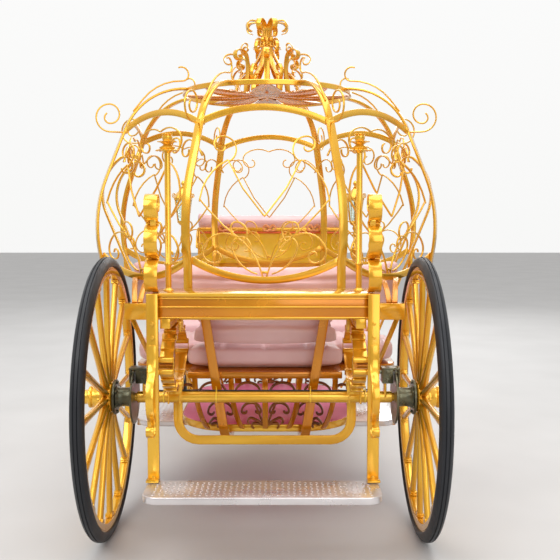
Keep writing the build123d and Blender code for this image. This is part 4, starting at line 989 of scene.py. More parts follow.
axleBar = {"tube": 0.025, "saddleX": 0.385, "half": 0.545, "stub": 0.018, "stubEnd": 0.700}
axleProfile = bothWays([
    (-axleBar["stubEnd"], 0), (-axleBar["stubEnd"], axleBar["stub"] - 0.001),
    (-axleBar["stubEnd"] + 0.001, axleBar["stub"]), (-axleBar["half"], axleBar["stub"]),
    (-axleBar["half"], axleBar["tube"] - 0.002), (-axleBar["half"] + 0.002, axleBar["tube"]),
])
axleCentre = Vector((0, rearWheel.y, rearWheel.z))
axleTube = turnedPiece("axleTube", axleProfile, axleCentre, xAxis, 48, 40)
axleParts = [axleTube]
for side in (-1, 1):
    x = side * axleBar["saddleX"]
    axleParts.append(block("saddle", (x, rearWheel.y, rearWheel.z + 0.0215), (0.064, 0.042, 0.017), 0.003))
    for offset in (-0.024, 0.024):
        axleParts.append(
            block(
                "strapBolt", (x + offset, rearWheel.y - 0.027, rearWheel.z + 0.002), (0.008, 0.008, 0.056),
                0.003,
            )
        )
    plateX = side * (rearWheel.x - brake["discInner"] - 0.038)
    plateTop = caliperLow.z - hair
    axleParts.append(
        block(
            "caliperPlate", (plateX, rearWheel.y, (plateTop + rearWheel.z) / 2),
            (0.010, 0.050, plateTop - rearWheel.z), 0.003,
        )
    )
gilded("rearAxleDressed", axleParts, "rear_axle")

# thin brake pipes that lie on the tube, with their yellow ties
pipe = {"radius": 0.003, "out": 0.50}
pipes = []
for offset, lift in ((0.006, 0.0262), (-0.002, 0.0278)):
    run = bendBar(
        "brakePipe",
        crossPlane(rearWheel.y + offset),
        (-pipe["out"], rearWheel.z + lift),
        0,
        [(0.13, 0), (0.8, 3), (0.8, -6), (0.8, 3), (0.62, 0), (0.06, 30), (0.06, -30)],
        2 * pipe["radius"], 2 * pipe["radius"], 0.0026,
    )
    pipes.append(run)
placed(joined("brakePipes", pipes), "carriage", "black_tyre", finishes["black_tyre"])
tie = {"inner": 0.0262, "outer": 0.0285, "half": 0.003, "lift": 0.0025}
ties = []
for x in (-0.206, 0.196, 0.43, -0.43):
    hoop = [
        (-tie["half"], tie["inner"]), (tie["half"], tie["inner"]), (tie["half"], tie["outer"]),
        (-tie["half"], tie["outer"]), (-tie["half"], tie["inner"]),
    ]
    ties.append(turnedPiece("pipeTie", hoop, axleCentre + xAxis * x + zAxis * tie["lift"], xAxis, 32))
    tail = bendBar(
        "tieTail", sidePlane(x, rearWheel.y, rearWheel.z), (-0.012, 0.027), 100,
        [(0.012, 0), (0.012, 60), (0.010, 0)], 0.0015, 0.004, 0
    )
    ties.append(tail)
placed(joined("pipeTies", ties), "carriage", "yellow_panel", finishes["yellow_panel"])

boxLow, boxHigh = boxOf("rear_box")
chest = {"lid": 0.014, "over": 0.008, "bead": 0.006}
chestMid = (boxLow + boxHigh) / 2
chestSize = boxHigh - boxLow
chestBody = block(
    "chestBody",
    (0, chestMid.y, (boxLow.z + boxHigh.z - chest["lid"]) / 2),
    (chestSize.x - 2 * chest["over"], chestSize.y - 2 * chest["over"], chestSize.z - chest["lid"]),
    0.003,
)
chestLid = block(
    "chestLid", (0, chestMid.y, boxHigh.z - chest["lid"] / 2), (chestSize.x, chestSize.y, chest["lid"]),
    0.004,
)
beads = []
for z in (boxHigh.z - chest["lid"] - 0.006, chestMid.z - 0.004, boxLow.z + 0.004):
    beads.append(
        block(
            "chestBead", (0, chestMid.y, z), (chestSize.x - 0.004, chestSize.y - 0.004, chest["bead"]),
            0.0025,
        )
    )
# painted shade: the chest's body takes the darker orange gold for the shade on its sides, while its lid and
# beads stay in the gold paint
placed(chestBody, "carriage", "orange_gold", finishes["orange_gold"], "rear_box")
gilded("chestTrim", [chestLid, *beads], "rear_box")

# stays from the cross beams' ends down to the benches
stayBar = (0.010, 0.022, 0.0025)
stays = []
for facing, board in ((-1, boxOf("rear_seat_board")), (1, boxOf("front_seat_board"))):
    foot = Vector((0.515, cageCentre.y + facing * 0.50, board[0].z + 0.004))
    head = Vector((0.572, cageCentre.y + facing * ribApothem, beamTop - 0.066))
    reach = head - foot
    flat = Vector((reach.x, reach.y, 0))
    plane = (Vector((foot.x, foot.y, 0)), flat.normalized(), zAxis)
    lift = degrees(atan2(reach.z, flat.length))
    stay = bendBar("benchStay", plane, (0, foot.z), lift, [(reach.length, 0)], *stayBar)
    stays += bothSides(stay)
gilded("benchStays", stays)

post = {"x": 0.385, "rod": 0.0125, "cap": 0.556}
postFoot = Vector((post["x"], chestMid.y, boxOf("rear_posts")[0].z))
rodProfile = [
    (0, 0), (0, 0.022), (0.003, 0.022), (0.008, 0.017), (0.012, post["rod"]), (0.10, post["rod"]),
    (0.105, 0.0165), (0.112, 0.0165), (0.117, post["rod"]), (post["cap"] - 0.004, post["rod"]),
    (post["cap"], 0.016), (post["cap"] + 0.012, 0.030), (post["cap"] + 0.020, 0.032),
    (post["cap"] + 0.026, 0.020),
    (post["cap"] + 0.034, 0.012), (post["cap"] + 0.044, 0.0165), (post["cap"] + 0.056, 0.0215),
    (post["cap"] + 0.064, 0.0205), (post["cap"] + 0.071, 0.012), (post["cap"] + 0.0735, 0),
]
rod = turnedPiece("postRod", rodProfile, postFoot, zAxis, 28, 40)
frills = []
for level, count, tilt, long, wide in (
    (0.008, 16, 8, 0.043, 0.012), (0.024, 12, 38, 0.040, 0.011), (0.050, 8, 66, 0.028, 0.012),
):
    frill = bendBar(
        "frill",
        (postFoot + zAxis * (post["cap"] + level), xAxis, zAxis),
        (0.006, 0),
        tilt,
        [(long * 0.45, 0), (long * 0.8, -40)],
        0.0022, wide, 0.0009, 12,
    )
    frills += shareOut(frill, postFoot, [360 * i / count for i in range(count)])
rightPost = joined("rightPost", [rod, *frills])
gilded("posts", bothSides(rightPost), "rear_posts")

bulgeFoot = boxOf("rear_scrolls")[0].z
bulge = {"x": 0.436, "wide": 0.052, "thick": 0.006, "inset": 0.028}
bulgeRuns = [
    (0.062, -180), (0.008, 180), (0.060, -180), (0.008, 180), (0.053, -200), (0.032, -150), (0.016, -120),
]
chestBack = boxLow.y + chest["over"]
bulgeBand = bendBar(
    "bulgeBand",
    sidePlane(bulge["x"]),
    (chestBack + bulge["inset"], bulgeFoot + bulge["thick"] / 2),
    180, bulgeRuns, bulge["thick"], bulge["wide"], 0.0018, 9,
)
innerRuns = [(0.046, -180), (0.010, 180), (0.044, -180), (0.010, 180), (0.042, -190), (0.024, -150)]
innerBand = bendBar(
    "innerBand",
    sidePlane(bulge["x"] - 0.008),
    (chestBack + bulge["inset"] + 0.012, bulgeFoot + 0.020),
    180, innerRuns, 0.005, 0.022, 0.0015, 10,
)
bands = joined("bulgeBands", [bulgeBand, innerBand])
gilded("rearScrollBands", bothSides(bands), "rear_scrolls")

hangerFace = boxOf("hangers")[0].y
hangerX = 0.432
bracketRuns = [(0.050, 0), (0.080, -60), (0.095, 120), (0.034, -200), (0.018, -120)]
bracket = bendBar(
    "hangerScroll", sidePlane(hangerX), (hangerFace - 0.0033, 0.870), -90, bracketRuns, 0.006, 0.030,
    0.0018, 9,
)
hangerBolts = []
for z in (0.345, 0.90, 0.955, 0.60):
    hangerBolts.append(
        boltHead("hangerBolt", (hangerX, hangerFace - 0.002, z), (0, -1, 0), 0.008, 0.006, 12)
    )
ledge = block("hangerShoe", (hangerX, hangerFace - 0.020, 0.3395), (0.050, 0.040, 0.009), 0.002)
bracketSet = joined("hangerSet", [bracket, *hangerBolts, ledge])
gilded("hangerScrolls", bothSides(bracketSet), "hanger_brackets")
print("rear frame made")

# raised pattern of the tread plates

tread = {"pitch": 0.022, "long": 0.017, "wide": 0.0055, "high": 0.0016, "edge": 0.012}


def treadRow(name, centre, count, direction, slant):
    bpy.ops.mesh.primitive_uv_sphere_add(segments=8, ring_count=4, radius=0.5, location=centre)
    lug = bpy.context.object
    lug.name = name
    lug.scale = (tread["long"], tread["wide"], tread["high"] * 2)
    lug.rotation_euler = (0, 0, radians(slant))
    settle(lug)
    changed(
        lug, "ARRAY", count=count, use_relative_offset=False, use_constant_offset=True,
        constant_offset_displace=direction,
    )
    bpy.ops.object.shade_smooth()
    return lug


def treadField(name, low, high, top, corner=0.0):
    rows = []
    pitch = tread["pitch"]
    lines = int((high.y - low.y - 2 * tread["edge"]) / pitch)
    firstY = (low.y + high.y - (lines - 1) * pitch) / 2
    for line in range(lines):
        y = firstY + line * pitch
        inset = tread["edge"]
        if corner and y < low.y + corner:
            inset += corner - sqrt(max(0.0, corner**2 - (low.y + corner - y) ** 2))
        for slant in (45, -45):
            span = high.x - low.x - 2 * inset
            count = int(span / (2 * pitch))
            if count < 1:
                continue
            shift = (line % 2) * pitch if slant == 45 else ((line + 1) % 2) * pitch
            start = (low.x + high.x) / 2 - (count - 0.5) * pitch + shift
            if start + (count - 1) * 2 * pitch > high.x - inset:
                count -= 1
            rows.append(treadRow(name, (start, y, top), count, (2 * pitch, 0, 0), slant))
    return joined(name, rows)


platformLow, platformHigh = boxOf("platform")
stepLow, stepHigh = boxOf("side_steps")
ringHalf = boxOf("floor_ring")[1].x
boardLow, boardHigh = boxOf("footboard")
plateFinish = finishes["tread_plate"]
lugs = treadField("platformTread", platformLow, platformHigh, platformHigh.z, 0.06)
placed(lugs, "carriage", "tread_plate", plateFinish)
stepTread = treadField(
    "stepTread", Vector((ringHalf, stepLow.y + 0.02, 0)), Vector((stepHigh.x - 0.02, stepHigh.y - 0.02, 0)),
    stepHigh.z,
)
placed(joined("stepTreads", bothSides(stepTread)), "carriage", "tread_plate", plateFinish)
footTread = treadField(
    "footTread", Vector((boardLow.x, boardLow.y, 0)), Vector((boardHigh.x, boardLow.y + 0.46, 0)),
    boxOf("footboard")[0].z + 0.018,
)
placed(footTread, "carriage", "tread_plate", plateFinish)
print("tread plates made")

# soft seats

swell = {"quality": 4, "mass": 0.3, "frames": 20, "ease": 0.5, "quickVoxel": 0.012}
seamFade = 2.718


# a pad starts a little smaller than its CAD solid, swells as cloth under pressure, is eased,
# and fills the solid's box again
def swollen(name, node, pad):
    piece = eased(name, node, 0)
    low, high = boxOf(node)
    middle = (low + high) / 2
    for vertex in piece.data.vertices:
        for i in range(3):
            half = (high[i] - low[i]) / 2
            vertex.co[i] = middle[i] + (vertex.co[i] - middle[i]) * (half - pad["shrink"]) / half
    changed(piece, "REMESH", mode="VOXEL", voxel_size=pad["voxel"])
    before = [vertex.co.copy() for vertex in piece.data.vertices]
    cloth = piece.modifiers.new("cloth", "CLOTH")
    cloth.settings.quality = swell["quality"]
    cloth.settings.mass = swell["mass"]
    cloth.settings.use_pressure = True
    cloth.settings.uniform_pressure_force = pad["pressure"]
    cloth.settings.effector_weights.gravity = 0
    for number in range(1, swell["frames"] + 1):
        bpy.context.scene.frame_set(number)
    puffed = piece.evaluated_get(bpy.context.evaluated_depsgraph_get()).data
    after = [vertex.co.copy() for vertex in puffed.vertices]
    piece.modifiers.remove(cloth)
    bpy.context.scene.frame_set(1)
    for vertex, old, new in zip(piece.data.vertices, before, after):
        move = new - old
        vertex.co = old + move * min(1.0, pad["cap"] / max(move.length, 1e-6))
    for vertex in piece.data.vertices:
        vertex.co.z = max(vertex.co.z, low.z)
    changed(piece, "SMOOTH", factor=swell["ease"], iterations=pad["smooth"])
    reach = high + zAxis * pad["rise"] - low
    for i in range(3):
        least = min(vertex.co[i] for vertex in piece.data.vertices)
        most = max(vertex.co[i] for vertex in piece.data.vertices)
        for vertex in piece.data.vertices:
            vertex.co[i] = low[i] + (vertex.co[i] - least) / (most - least) * reach[i]
    bpy.ops.object.shade_smooth()
    return piece


# presses a piece in along lines: where measure(place) is near one of the values
def pressed(piece, values, depth, width, measure, keep):
    moves = []
    for vertex in piece.data.vertices:
        if not keep(vertex.co, vertex.normal):
            moves.append(0.0)
            continue
        gap = min(abs(measure(vertex.co) - value) for value in values)
        moves.append(depth * seamFade ** (-((gap / width) ** 2)))
    normals = [vertex.normal.copy() for vertex in piece.data.vertices]
    for vertex, move, normal in zip(piece.data.vertices, moves, normals):
        vertex.co = vertex.co - normal * move


def heightOf(place):
    return place.z


def acrossOf(place):
    return place.x


def angleRound(place):
    return degrees(atan2(place.y - cageCentre.y, place.x - cageCentre.x))


def outside(place, normal):
    away = Vector((place.x - cageCentre.x, place.y - cageCentre.y, 0))
    return normal.dot(away) > 0


def inside(place, normal):
    return not outside(place, normal)


def upward(place, normal):
    return normal.z > 0.85


padRows = [
    # node, how it is swollen
    (
        "rear_cushion",
        {"shrink": 0.024, "voxel": 0.0070, "pressure": 10, "cap": 0.030, "smooth": 40, "rise": 0.004},
    ),
    (
        "front_cushion",
        {"shrink": 0.024, "voxel": 0.0080, "pressure": 10, "cap": 0.030, "smooth": 30, "rise": 0.004},
    ),
    (
        "rear_back",
        {"shrink": 0.018, "voxel": 0.0070, "pressure": 10, "cap": 0.024, "smooth": 24, "rise": 0.013},
    ),
    (
        "front_back",
        {"shrink": 0.018, "voxel": 0.0080, "pressure": 10, "cap": 0.024, "smooth": 20, "rise": 0.008},
    ),
    (
        "driver_cushion",
        {"shrink": 0.020, "voxel": 0.0080, "pressure": 10, "cap": 0.026, "smooth": 30, "rise": 0.004},
    ),
    (
        "driver_back_pad",
        {"shrink": 0.010, "voxel": 0.0065, "pressure": 8, "cap": 0.012, "smooth": 10, "rise": 0.002},
    ),
]
pads = {}
for node, pad in padRows:
    pads[node] = swollen(node + "Pad", node, pad)
    print("pad swollen:", node, len(pads[node].data.vertices))

backChannels = [9 * i for i in range(-5, 6)]
cushionChannels = [0.185 * i for i in range(-3, 4)]
driverChannels = [0.15 * i for i in range(-2, 3)]
seams = [
    # pad, where its seams lie, depth, width, what is measured, which faces
    ("rear_back", [0.893], 0.026, 0.014, heightOf, outside),
    ("rear_back", [1.098], 0.014, 0.009, heightOf, outside),
    ("rear_back", [1.000], 0.012, 0.070, heightOf, outside),
    ("rear_back", [-90 + channel for channel in backChannels], 0.012, 1.1, angleRound, inside),
    ("rear_back", [1.095], 0.010, 0.010, heightOf, inside),
    ("front_back", [90 + channel for channel in backChannels], 0.012, 1.1, angleRound, inside),
    ("rear_cushion", cushionChannels, 0.007, 0.010, acrossOf, upward),
    ("front_cushion", cushionChannels, 0.007, 0.010, acrossOf, upward),
    ("driver_cushion", driverChannels, 0.006, 0.009, acrossOf, upward),
]
for node, places, depth, width, measure, faces in seams:
    pressed(pads[node], places, depth, width, measure, faces)
for node, piece in pads.items():
    placed(piece, bodyOf(node), "pink_satin", finishes["pink_satin"], node)
print("seats made")

# the scrolls and bars of the basket below the benches

floorRing = boxOf("floor_ring")
boardRear = boxOf("rear_seat_board")
boardFront = boxOf("front_seat_board")
basketEnds = [
    # way it faces, edge of its bench, edge of the ring
    (-1, boardRear[0].y, floorRing[0].y),
    (1, boardFront[1].y, floorRing[1].y),
]
benchInset = 0.012
basketBar = (0.008, 0.026, 0.0025, 4)
fanBar = (0.0095, 0.012, 0.0024, 14)
ribBars = []
for facing, boardY, ringY in basketEnds:
    topZ = boardRear[0].z - hair
    topY = boardY - facing * benchInset
    drop = topZ - floorRing[0].z - 0.017
    for topX, footX in ((0, 0), (0.150, 0.105), (0.310, 0.262)):
        away = Vector((footX - topX, ringY - topY, 0))
        distance = away.length
        belly = 2 * atan(distance / drop)
        plane = (Vector((topX, topY, 0)), away.normalized(), zAxis)
        bar = bendBar("basketBar", plane, (0, topZ), -90, [(drop / sin(belly), degrees(belly))], *basketBar)
        ribBars.append(bar)
        if topX:
            ribBars.append(mirrored(bar))
placed(joined("basketBars", ribBars), "carriage", "orange_gold", orange, "basket_ribs")

fanRows = [
    # start (across, up the slope), heading, runs, for one half of the basket's end
    ((0.046, 0.178), -90, [(0.013, -180), (0.057, -180), (0.013, -180)]),
    ((0.200, 0.174), -90, [(0.014, -180), (0.061, -180), (0.014, -180)]),
    ((0.042, 0.086), -90, [(0.011, -180), (0.043, -180), (0.011, -180)]),
    ((0.171, 0.080), -90, [(0.013, -180), (0.056, -180), (0.013, -180)]),
    ((0.337, 0.195), -90, [(0.012, -180), (0.030, -180)]),
    ((0.010, 0.016), 72, [(0.118, 0)]),
    ((0.010, 0.014), 46, [(0.150, -22), (0.016, -170)]),
    ((0.012, 0.012), 24, [(0.110, -18), (0.014, -170)]),
    ((0.255, 0.016), 112, [(0.090, 20), (0.014, 170)]),
    ((0.245, 0.014), 148, [(0.070, 16), (0.012, 170)]),
]
fans = []
for facing, boardY, ringY in basketEnds:
    topY = boardY - facing * benchInset
    low = Vector((0, ringY + facing * 0.004, floorRing[1].z - 0.010))
    high = Vector((0, topY, boardRear[0].z))
    slope = (high - low).normalized()
    for start, heading, runs in fanRows:
        fan = bendBar("fan", (low, xAxis, slope), start, heading, runs, *fanBar)
        fans += bothSides(fan)
placed(joined("basketFans", fans), "carriage", "orange_gold", finishes["bronze_gold"])
print("basket made")

# entry bows

entryLow, entryHigh = boxOf("entry_bows")
entry = {
    "wide": 0.030, "thick": 0.010,
    "runs": [(0.400, 16), (0.923, 0), (0.230, 74), (0.040, 200), (0.020, 120)],
}
entries = []
for y in (entryLow.y + entry["wide"] / 2, entryHigh.y - entry["wide"] / 2):
    start = (floorRing[1].x - entry["thick"], floorRing[1].z + hair + entry["thick"])
    bow = bendBar(
        "entryBow", crossPlane(y), start, 52, entry["runs"], entry["thick"], entry["wide"], 0.003, 6,
    )
    entries += bothSides(bow)
gilded("entryBows", entries, "entry_bows")
print("entry bows made")

# driver's place

panelLow, panelHigh = boxOf("driver_panel")
driver = {"rail": 0.026, "stripe": 0.012, "rosettes": (-0.275, 0.0, 0.275)}
panelMid = (panelLow + panelHigh) / 2
panelSize = panelHigh - panelLow
faceY = panelLow.y
panelBoard = block(
    "panelBoard", (0, panelMid.y + 0.002, panelMid.z),
    (panelSize.x - 0.004, panelSize.y - 0.004, panelSize.z - 0.002), 0.004,
)
clearMesh(panelBoard)
for face in panelBoard.data.polygons:
    face.select = face.normal.y < -0.9 and face.area > 0.1
bpy.ops.object.mode_set(mode="EDIT")
bpy.ops.mesh.select_mode(type="FACE")
bpy.ops.mesh.inset(thickness=0.022)
bpy.ops.mesh.inset(thickness=0.006, depth=-0.004)
closeMesh()
placed(panelBoard, "carriage", "yellow_panel", finishes["yellow_panel"], "driver_panel")
railTop = block(
    "panelRail", (0, faceY + 0.006, panelHigh.z - driver["rail"] / 2), (panelSize.x, 0.020, driver["rail"]),
    0.006,
)
railSides = [
    block(
        "panelSide", (side * (panelSize.x / 2 - 0.009), faceY + 0.006, panelMid.z),
        (0.016, 0.016, panelSize.z - 0.01), 0.004,
    )
    for side in (-1, 1)
]
gilded("panelRails", [railTop, *railSides])
stripe = block(
    "panelStripe", (0, faceY + 0.0035, panelHigh.z - driver["rail"] - driver["stripe"] / 2),
    (panelSize.x - 0.03, 0.010, driver["stripe"]), 0.003
)
placed(stripe, "carriage", "orange_gold", finishes["red_line"])

rosetteLow, rosetteHigh = boxOf("seat_rosettes")
rosetteY = (rosetteLow.y + rosetteHigh.y) / 2
rosettes = []
rosetteFoot = rosetteHigh.z - 0.041
for x in driver["rosettes"]:
    for side in (-1, 1):
        for inset, size in ((0.0, 0.0195), (0.004, 0.0140)):
            ram = bendBar(
                "rosette", crossPlane(rosetteY, x), (side * 0.004, rosetteFoot + inset), 90 - side * 88,
                [(0.018, 0), (size, side * 235), (size / 2, side * 170)], 0.006, 0.012, 0.0018, 12,
            )
            rosettes.append(ram)
    rosettes.append(block("rosetteKnot", (x, rosetteY, rosetteFoot + 0.006), (0.020, 0.012, 0.016), 0.003))
placed(joined("seatRosettes", rosettes), "carriage", "orange_gold", finishes["rose_gold"], "seat_rosettes")

boxSide = boxOf("driver_box")
dressings = []
for z in (boxSide[0].z + 0.010, boxSide[1].z - 0.008):
    dressings.append(
        block(
            "boxBand", (0, (boxSide[0].y + boxSide[1].y) / 2, z),
            (boxSide[1].x - boxSide[0].x - 0.050, boxSide[1].y - boxSide[0].y + 0.003, 0.012), 0.003,
        )
    )
for side in (-1, 1):
    scroll = bendBar(
        "boxScroll",
        sidePlane(
            side * (boxSide[1].x + 0.001), (boxSide[0].y + boxSide[1].y) / 2,
            (boxSide[0].z + boxSide[1].z) / 2,
        ),
        (0.0, -0.05), 60, [(0.070, -120), (0.034, -170), (0.018, -150)], 0.006, 0.006, 0.002, 12,
    )
    dressings.append(scroll)
    back = copied(
        scroll, Matrix.Translation((0, boxSide[0].y + boxSide[1].y, 0)) @ Matrix.Scale(-1, 4, yAxis),
    )
    dressings.append(back)
gilded("boxDressing", dressings)

boardEdge = bendBar(
    "footboardEdge",
    sidePlane(boardHigh.x - 0.006),
    (boardLow.y, boardLow.z + 0.009),
    0, [(0.470, 0), (0.130, 58), (0.170, 0), (0.034, -150)], 0.022, 0.014, 0.004, 6,
)
gilded("footboardEdges", bothSides(boardEdge))
grabBars = []
for side in (-1, 1):
    grabBars.append(
        bendBar(
            "grabRail",
            sidePlane(side * (panelHigh.x + 0.006)),
            (panelLow.y + 0.012, panelHigh.z - 0.13),
            70, [(0.05, 0), (0.11, -70), (0.20, 0), (0.09, -90), (0.03, 0)], 0.014, 0.014, 0.005, 9,
        )
    )
gilded("grabRails", grabBars)
print("driver's place made")

# lamps

lampLow, lampHigh = boxOf("lamps")
lamp = {
    "x": 0.525, "foot": 0.034, "half": 0.052, "body": 0.150, "roof": 0.060, "eave": 0.008, "finial": 0.050,
}
lampY = (lampLow.y + lampHigh.y) / 2
roofZ = lampHigh.z - lamp["finial"]
bodyTop = roofZ - lamp["roof"]
bodyFoot = bodyTop - lamp["body"]
lampFoot = Vector((lamp["x"], lampY, lampLow.z))
stem = bodyFoot - lampLow.z
stemProfile = [
    (0, 0), (0, 0.020), (0.004, 0.020), (0.010, 0.012), (0.016, 0.009), (stem * 0.5 - 0.02, 0.009),
    (stem * 0.5 - 0.012, 0.015), (stem * 0.5, 0.018), (stem * 0.5 + 0.012, 0.015),
    (stem * 0.5 + 0.02, 0.009),
    (stem - 0.05, 0.009), (stem - 0.035, 0.016), (stem - 0.02, 0.012), (stem - 0.012, 0.026), (stem, 0.034),
    (stem, 0),
]
lampParts = [turnedPiece("lampStem", stemProfile, lampFoot, zAxis, 28, 40)]
hexAngles = [60 * i + 30 for i in range(6)]
footCorner = lamp["foot"] / cos(radians(30))
topCorner = lamp["half"] / cos(radians(30))
lean = atan2(topCorner - footCorner, lamp["body"])
cornerBar = block(
    "lampCorner",
    (lamp["x"] + (footCorner + topCorner) / 2 - 0.005, lampY, (bodyFoot + bodyTop) / 2),
    (0.007, 0.009, lamp["body"] / cos(lean)), 0.002, degrees(lean), "Y",
)
lampParts += shareOut(cornerBar, lampFoot, hexAngles)
for z, apothem, high in (
    (bodyFoot + 0.005, lamp["foot"] - 0.003, 0.012), (bodyTop - 0.006, lamp["half"] - 0.003, 0.014),
):
    hexRail = block("lampRail", (lamp["x"] + apothem, lampY, z), (0.008, apothem * 1.2, high), 0.002)
    lampParts += shareOut(hexRail, lampFoot, [60 * i for i in range(6)])
bpy.ops.mesh.primitive_cone_add(
    vertices=6, radius1=(lamp["half"] + lamp["eave"]) / cos(radians(30)), radius2=0.014,
    depth=lamp["roof"], location=(lamp["x"], lampY, bodyTop + lamp["roof"] / 2),
    rotation=(0, 0, radians(30)),
)
hexRoof = bpy.context.object
settle(hexRoof)
roundEdges(hexRoof, 0.0025)
lampParts.append(hexRoof)
finialProfile = [
    (0, 0), (0, 0.014), (0.006, 0.016), (0.010, 0.009), (0.016, 0.007), (0.022, 0.012), (0.030, 0.014),
    (0.038, 0.010), (0.044, 0.004), (lamp["finial"], 0.0),
]
lampParts.append(turnedPiece("lampFinial", finialProfile, Vector((lamp["x"], lampY, roofZ)), zAxis, 20, 40))
for angle in hexAngles:
    ear = bendBar(
        "lampEar",
        (Vector((lamp["x"], lampY, bodyTop)), Vector((cos(radians(angle)), sin(radians(angle)), 0)), zAxis),
        (topCorner + 0.004, 0.002), 25, [(0.014, 120), (0.007, 150)], 0.0035, 0.006, 0.001, 15,
    )
    lampParts.append(ear)
lampFrame = joined("lampFrameRight", lampParts)
gilded("lampFrames", bothSides(lampFrame), "lamps")

bpy.ops.mesh.primitive_cone_add(
    vertices=6, radius1=footCorner - 0.006, radius2=topCorner - 0.006, depth=lamp["body"] - 0.006,
    location=(lamp["x"], lampY, (bodyFoot + bodyTop) / 2), rotation=(0, 0, radians(30)),
)
lampGlass = bpy.context.object
settle(lampGlass)
openMesh(lampGlass)
bpy.ops.mesh.inset(thickness=0.004, use_individual=True)
closeMesh()
roundEdges(lampGlass, 0.0008, 1)
candle = turnedPiece(
    "candle",
    [
        (0, 0), (0, 0.012), (0.004, 0.012), (0.006, 0.009), (0.070, 0.009), (0.072, 0.007), (0.086, 0.004),
        (0.092, 0),
    ],
    Vector((lamp["x"], lampY, bodyFoot + 0.004)), zAxis, 20, 40,
)
placed(joined("lampCandles", bothSides(candle)), "carriage", "pink_satin", finishes["pale_wax"])
placed(joined("lampGlasses", bothSides(lampGlass)), "carriage", "hub_steel", finishes["lamp_glass"])
print("lamps made")

# shafts

shaftLow, shaftHigh = boxOf("shafts")
shaft = {
    "radius": 0.022, "slope": 13, "runs": [(1.5, 0), (1.5, 13), (0.060, 0)], "pin": 0.010, "round": 0.0128,
}
carrier = {"eyeX": 0.425, "cheek": 0.015, "gap": 0.008}
hingeCentre = Vector((0, shaftLow.y + shaft["radius"], shaftHigh.z - shaft["radius"]))
shaftX = carrier["eyeX"] - carrier["cheek"] - carrier["gap"] - shaft["radius"]
shaftFoot = Vector((shaftX, hingeCentre.y, hingeCentre.z))
pinReach = carrier["eyeX"] + carrier["cheek"] + carrier["gap"] - shaftX
tube = bendBar(
    "shaftTube", sidePlane(shaftX, hingeCentre.y, hingeCentre.z), (0, 0), -shaft["slope"], shaft["runs"],
    2 * shaft["radius"], 2 * shaft["radius"], 0, 2,
)
changed(tube, "BEVEL", width=shaft["round"], segments=4, limit_method="ANGLE", angle_limit=radians(60))
bpy.ops.object.shade_smooth_by_angle(angle=radians(40))
shaftParts = [tube]
knuckle = turnedPiece(
    "shaftKnuckle",
    [(-0.024, 0), (-0.024, 0.022), (-0.021, 0.025), (0.021, 0.025), (0.024, 0.022), (0.024, shaft["pin"]),
     (pinReach - 0.002, shaft["pin"]), (pinReach, 0.008), (pinReach, 0)],
    shaftFoot, xAxis, 28, 40,
)
shaftParts.append(knuckle)
along = Vector((0, cos(radians(shaft["slope"])), -sin(radians(shaft["slope"]))))
for reach, wide in ((0.10, 0.024), (0.26, 0.026), (0.95, 0.024), (1.20, 0.024), (1.45, 0.024)):
    spot = shaftFoot + along * reach
    halfBand = [(-0.012, 0.020), (-0.012, wide), (-0.009, wide + 0.0015)]
    shaftParts.append(turnedPiece("shaftBand", bothWays(halfBand) + halfBand[:1], spot, along, 28, 40))
tugs = []
for reach in (0.95, 1.45):
    spot = shaftFoot + along * reach
    eyeLoop = bendBar(
        "shaftStaple", (spot, along, along.cross(xAxis) * -1), (-0.022, 0.021), 90,
        [(0.010, 0), (0.022, -180), (0.010, 0)], 0.006, 0.006, 0.002, 15
    )
    tugs.append(eyeLoop)
shaftParts += tugs
rightShaft = joined("rightShaft", shaftParts)
placed(joined("shaftPair", bothSides(rightShaft)), "shafts", "gold_paint", gold, "shafts")
print("shafts made")

# camera, lights and floor

camera = {"lens": 55.2, "height": 1.357, "behind": 3.64, "aside": 0.066, "pitch": 4.0, "roll": 0.0}
rearAxle = (Vector(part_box("rear_axle")[0]) + Vector(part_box("rear_axle")[1])) / 2
bpy.ops.object.camera_add(
    location=(camera["aside"], rearAxle.y - camera["behind"], camera["height"]),
    rotation=(radians(90 - camera["pitch"]), radians(camera["roll"]), 0),
)
eye = bpy.context.object
eye.data.lens = camera["lens"]
eye.data.sensor_width = 36
bpy.context.scene.camera = eye
bpy.context.scene.view_settings.view_transform = "Standard"

studioLamps = [
    # name, place, what it aims at, size, watts
    ("keyLamp", (-4.0, -6.5, 6.5), (0, -1.2, 1.0), 5.0, 300),
    ("fillLamp", (3.0, -9.0, 4.0), (0, -1.2, 0.8), 6.0, 220),
    ("topLamp", (0.5, -1.0, 7.5), (0, -0.8, 1.0), 6.0, 260),
    ("frontLamp", (1.0, 6.0, 4.5), (0, 0, 1.0), 4.0, 160),
]
for name, place, aim, size, watts in studioLamps:
    bpy.ops.object.light_add(type="AREA", location=place)
    areaLamp = bpy.context.object
    areaLamp.name = name
    areaLamp.data.size = size
    areaLamp.data.energy = watts
    areaLamp.rotation_euler = (Vector(aim) - Vector(place)).to_track_quat("-Z", "Y").to_euler()

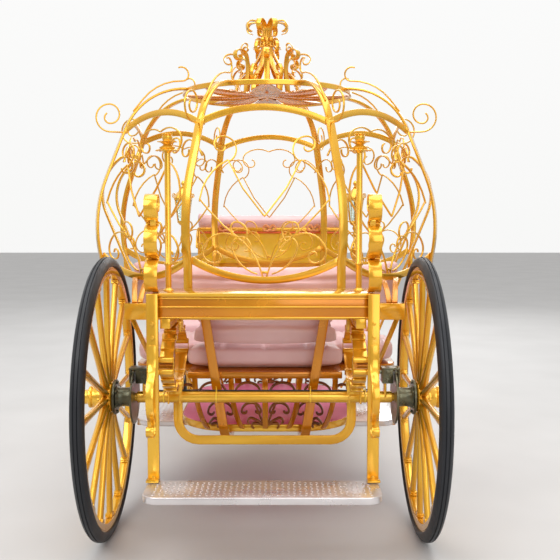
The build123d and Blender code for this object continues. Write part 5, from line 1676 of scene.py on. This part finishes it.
world = bpy.data.worlds.new("studio")
bpy.context.scene.world = world
world.use_nodes = True
sky = world.node_tree
sky.nodes.clear()
skyOutput = sky.nodes.new("ShaderNodeOutputWorld")
skyMix = sky.nodes.new("ShaderNodeMixShader")
skyLight = sky.nodes.new("ShaderNodeBackground")
skyBack = sky.nodes.new("ShaderNodeBackground")
skyRays = sky.nodes.new("ShaderNodeLightPath")
skyPlace = sky.nodes.new("ShaderNodeTexCoord")
skySplit = sky.nodes.new("ShaderNodeSeparateXYZ")
sky.links.new(skyPlace.outputs["Generated"], skySplit.inputs["Vector"])
skyColour = colourRamp(
    sky, skySplit.outputs["Z"],
    [(0.0, (0.30, 0.27, 0.24)), (0.15, (0.42, 0.42, 0.43)), (0.65, (1.0, 1.0, 1.0))]
)
sky.links.new(skyColour, skyLight.inputs["Color"])
skyLight.inputs["Strength"].default_value = 0.7
# the backdrop is palest ahead and above, and greyer behind the camera
backdrop = {
    "ahead": 0.31, "above": 0.69,
    "tones": [
        (0.0, (0.40, 0.38, 0.36)), (0.23, (0.50, 0.49, 0.48)), (0.55, (0.93, 0.93, 0.92)),
        (1.0, (1.0, 1.0, 1.0)),
    ],
}
aimed = sky.nodes.new("ShaderNodeVectorMath")
aimed.operation = "DOT_PRODUCT"
aimed.inputs[1].default_value = (0, backdrop["ahead"], backdrop["above"])
sky.links.new(skyPlace.outputs["Generated"], aimed.inputs[0])
shifted = sky.nodes.new("ShaderNodeMath")
sky.links.new(aimed.outputs["Value"], shifted.inputs[0])
shifted.inputs[1].default_value = backdrop["ahead"]
backColour = colourRamp(sky, shifted.outputs["Value"], backdrop["tones"])
sky.links.new(backColour, skyBack.inputs["Color"])
shown = skyRays.outputs["Is Camera Ray"]
for ray in ("Is Glossy Ray", "Is Transmission Ray"):
    either = sky.nodes.new("ShaderNodeMath")
    either.operation = "MAXIMUM"
    sky.links.new(shown, either.inputs[0])
    sky.links.new(skyRays.outputs[ray], either.inputs[1])
    shown = either.outputs["Value"]
sky.links.new(shown, skyMix.inputs["Fac"])
sky.links.new(skyLight.outputs["Background"], skyMix.inputs[1])
sky.links.new(skyBack.outputs["Background"], skyMix.inputs[2])
sky.links.new(skyMix.outputs["Shader"], skyOutput.inputs["Surface"])

bpy.ops.mesh.primitive_plane_add(size=60, location=(0, 0, 0))
floor = bpy.context.object
floor.name = "studioFloor"
floorMaterial, floorTree, floorShader = newMaterial("paleFloor")
floorTone = colourRamp(
    floorTree, objectNoise(floorTree, 1.5, 2), [(0.3, (0.56, 0.55, 0.54)), (0.7, (0.60, 0.59, 0.58))],
)
floorTree.links.new(floorTone, floorShader.inputs["Base Color"])
floorShader.inputs["Roughness"].default_value = 0.6
floor.data.materials.append(floorMaterial)
print("studio set")
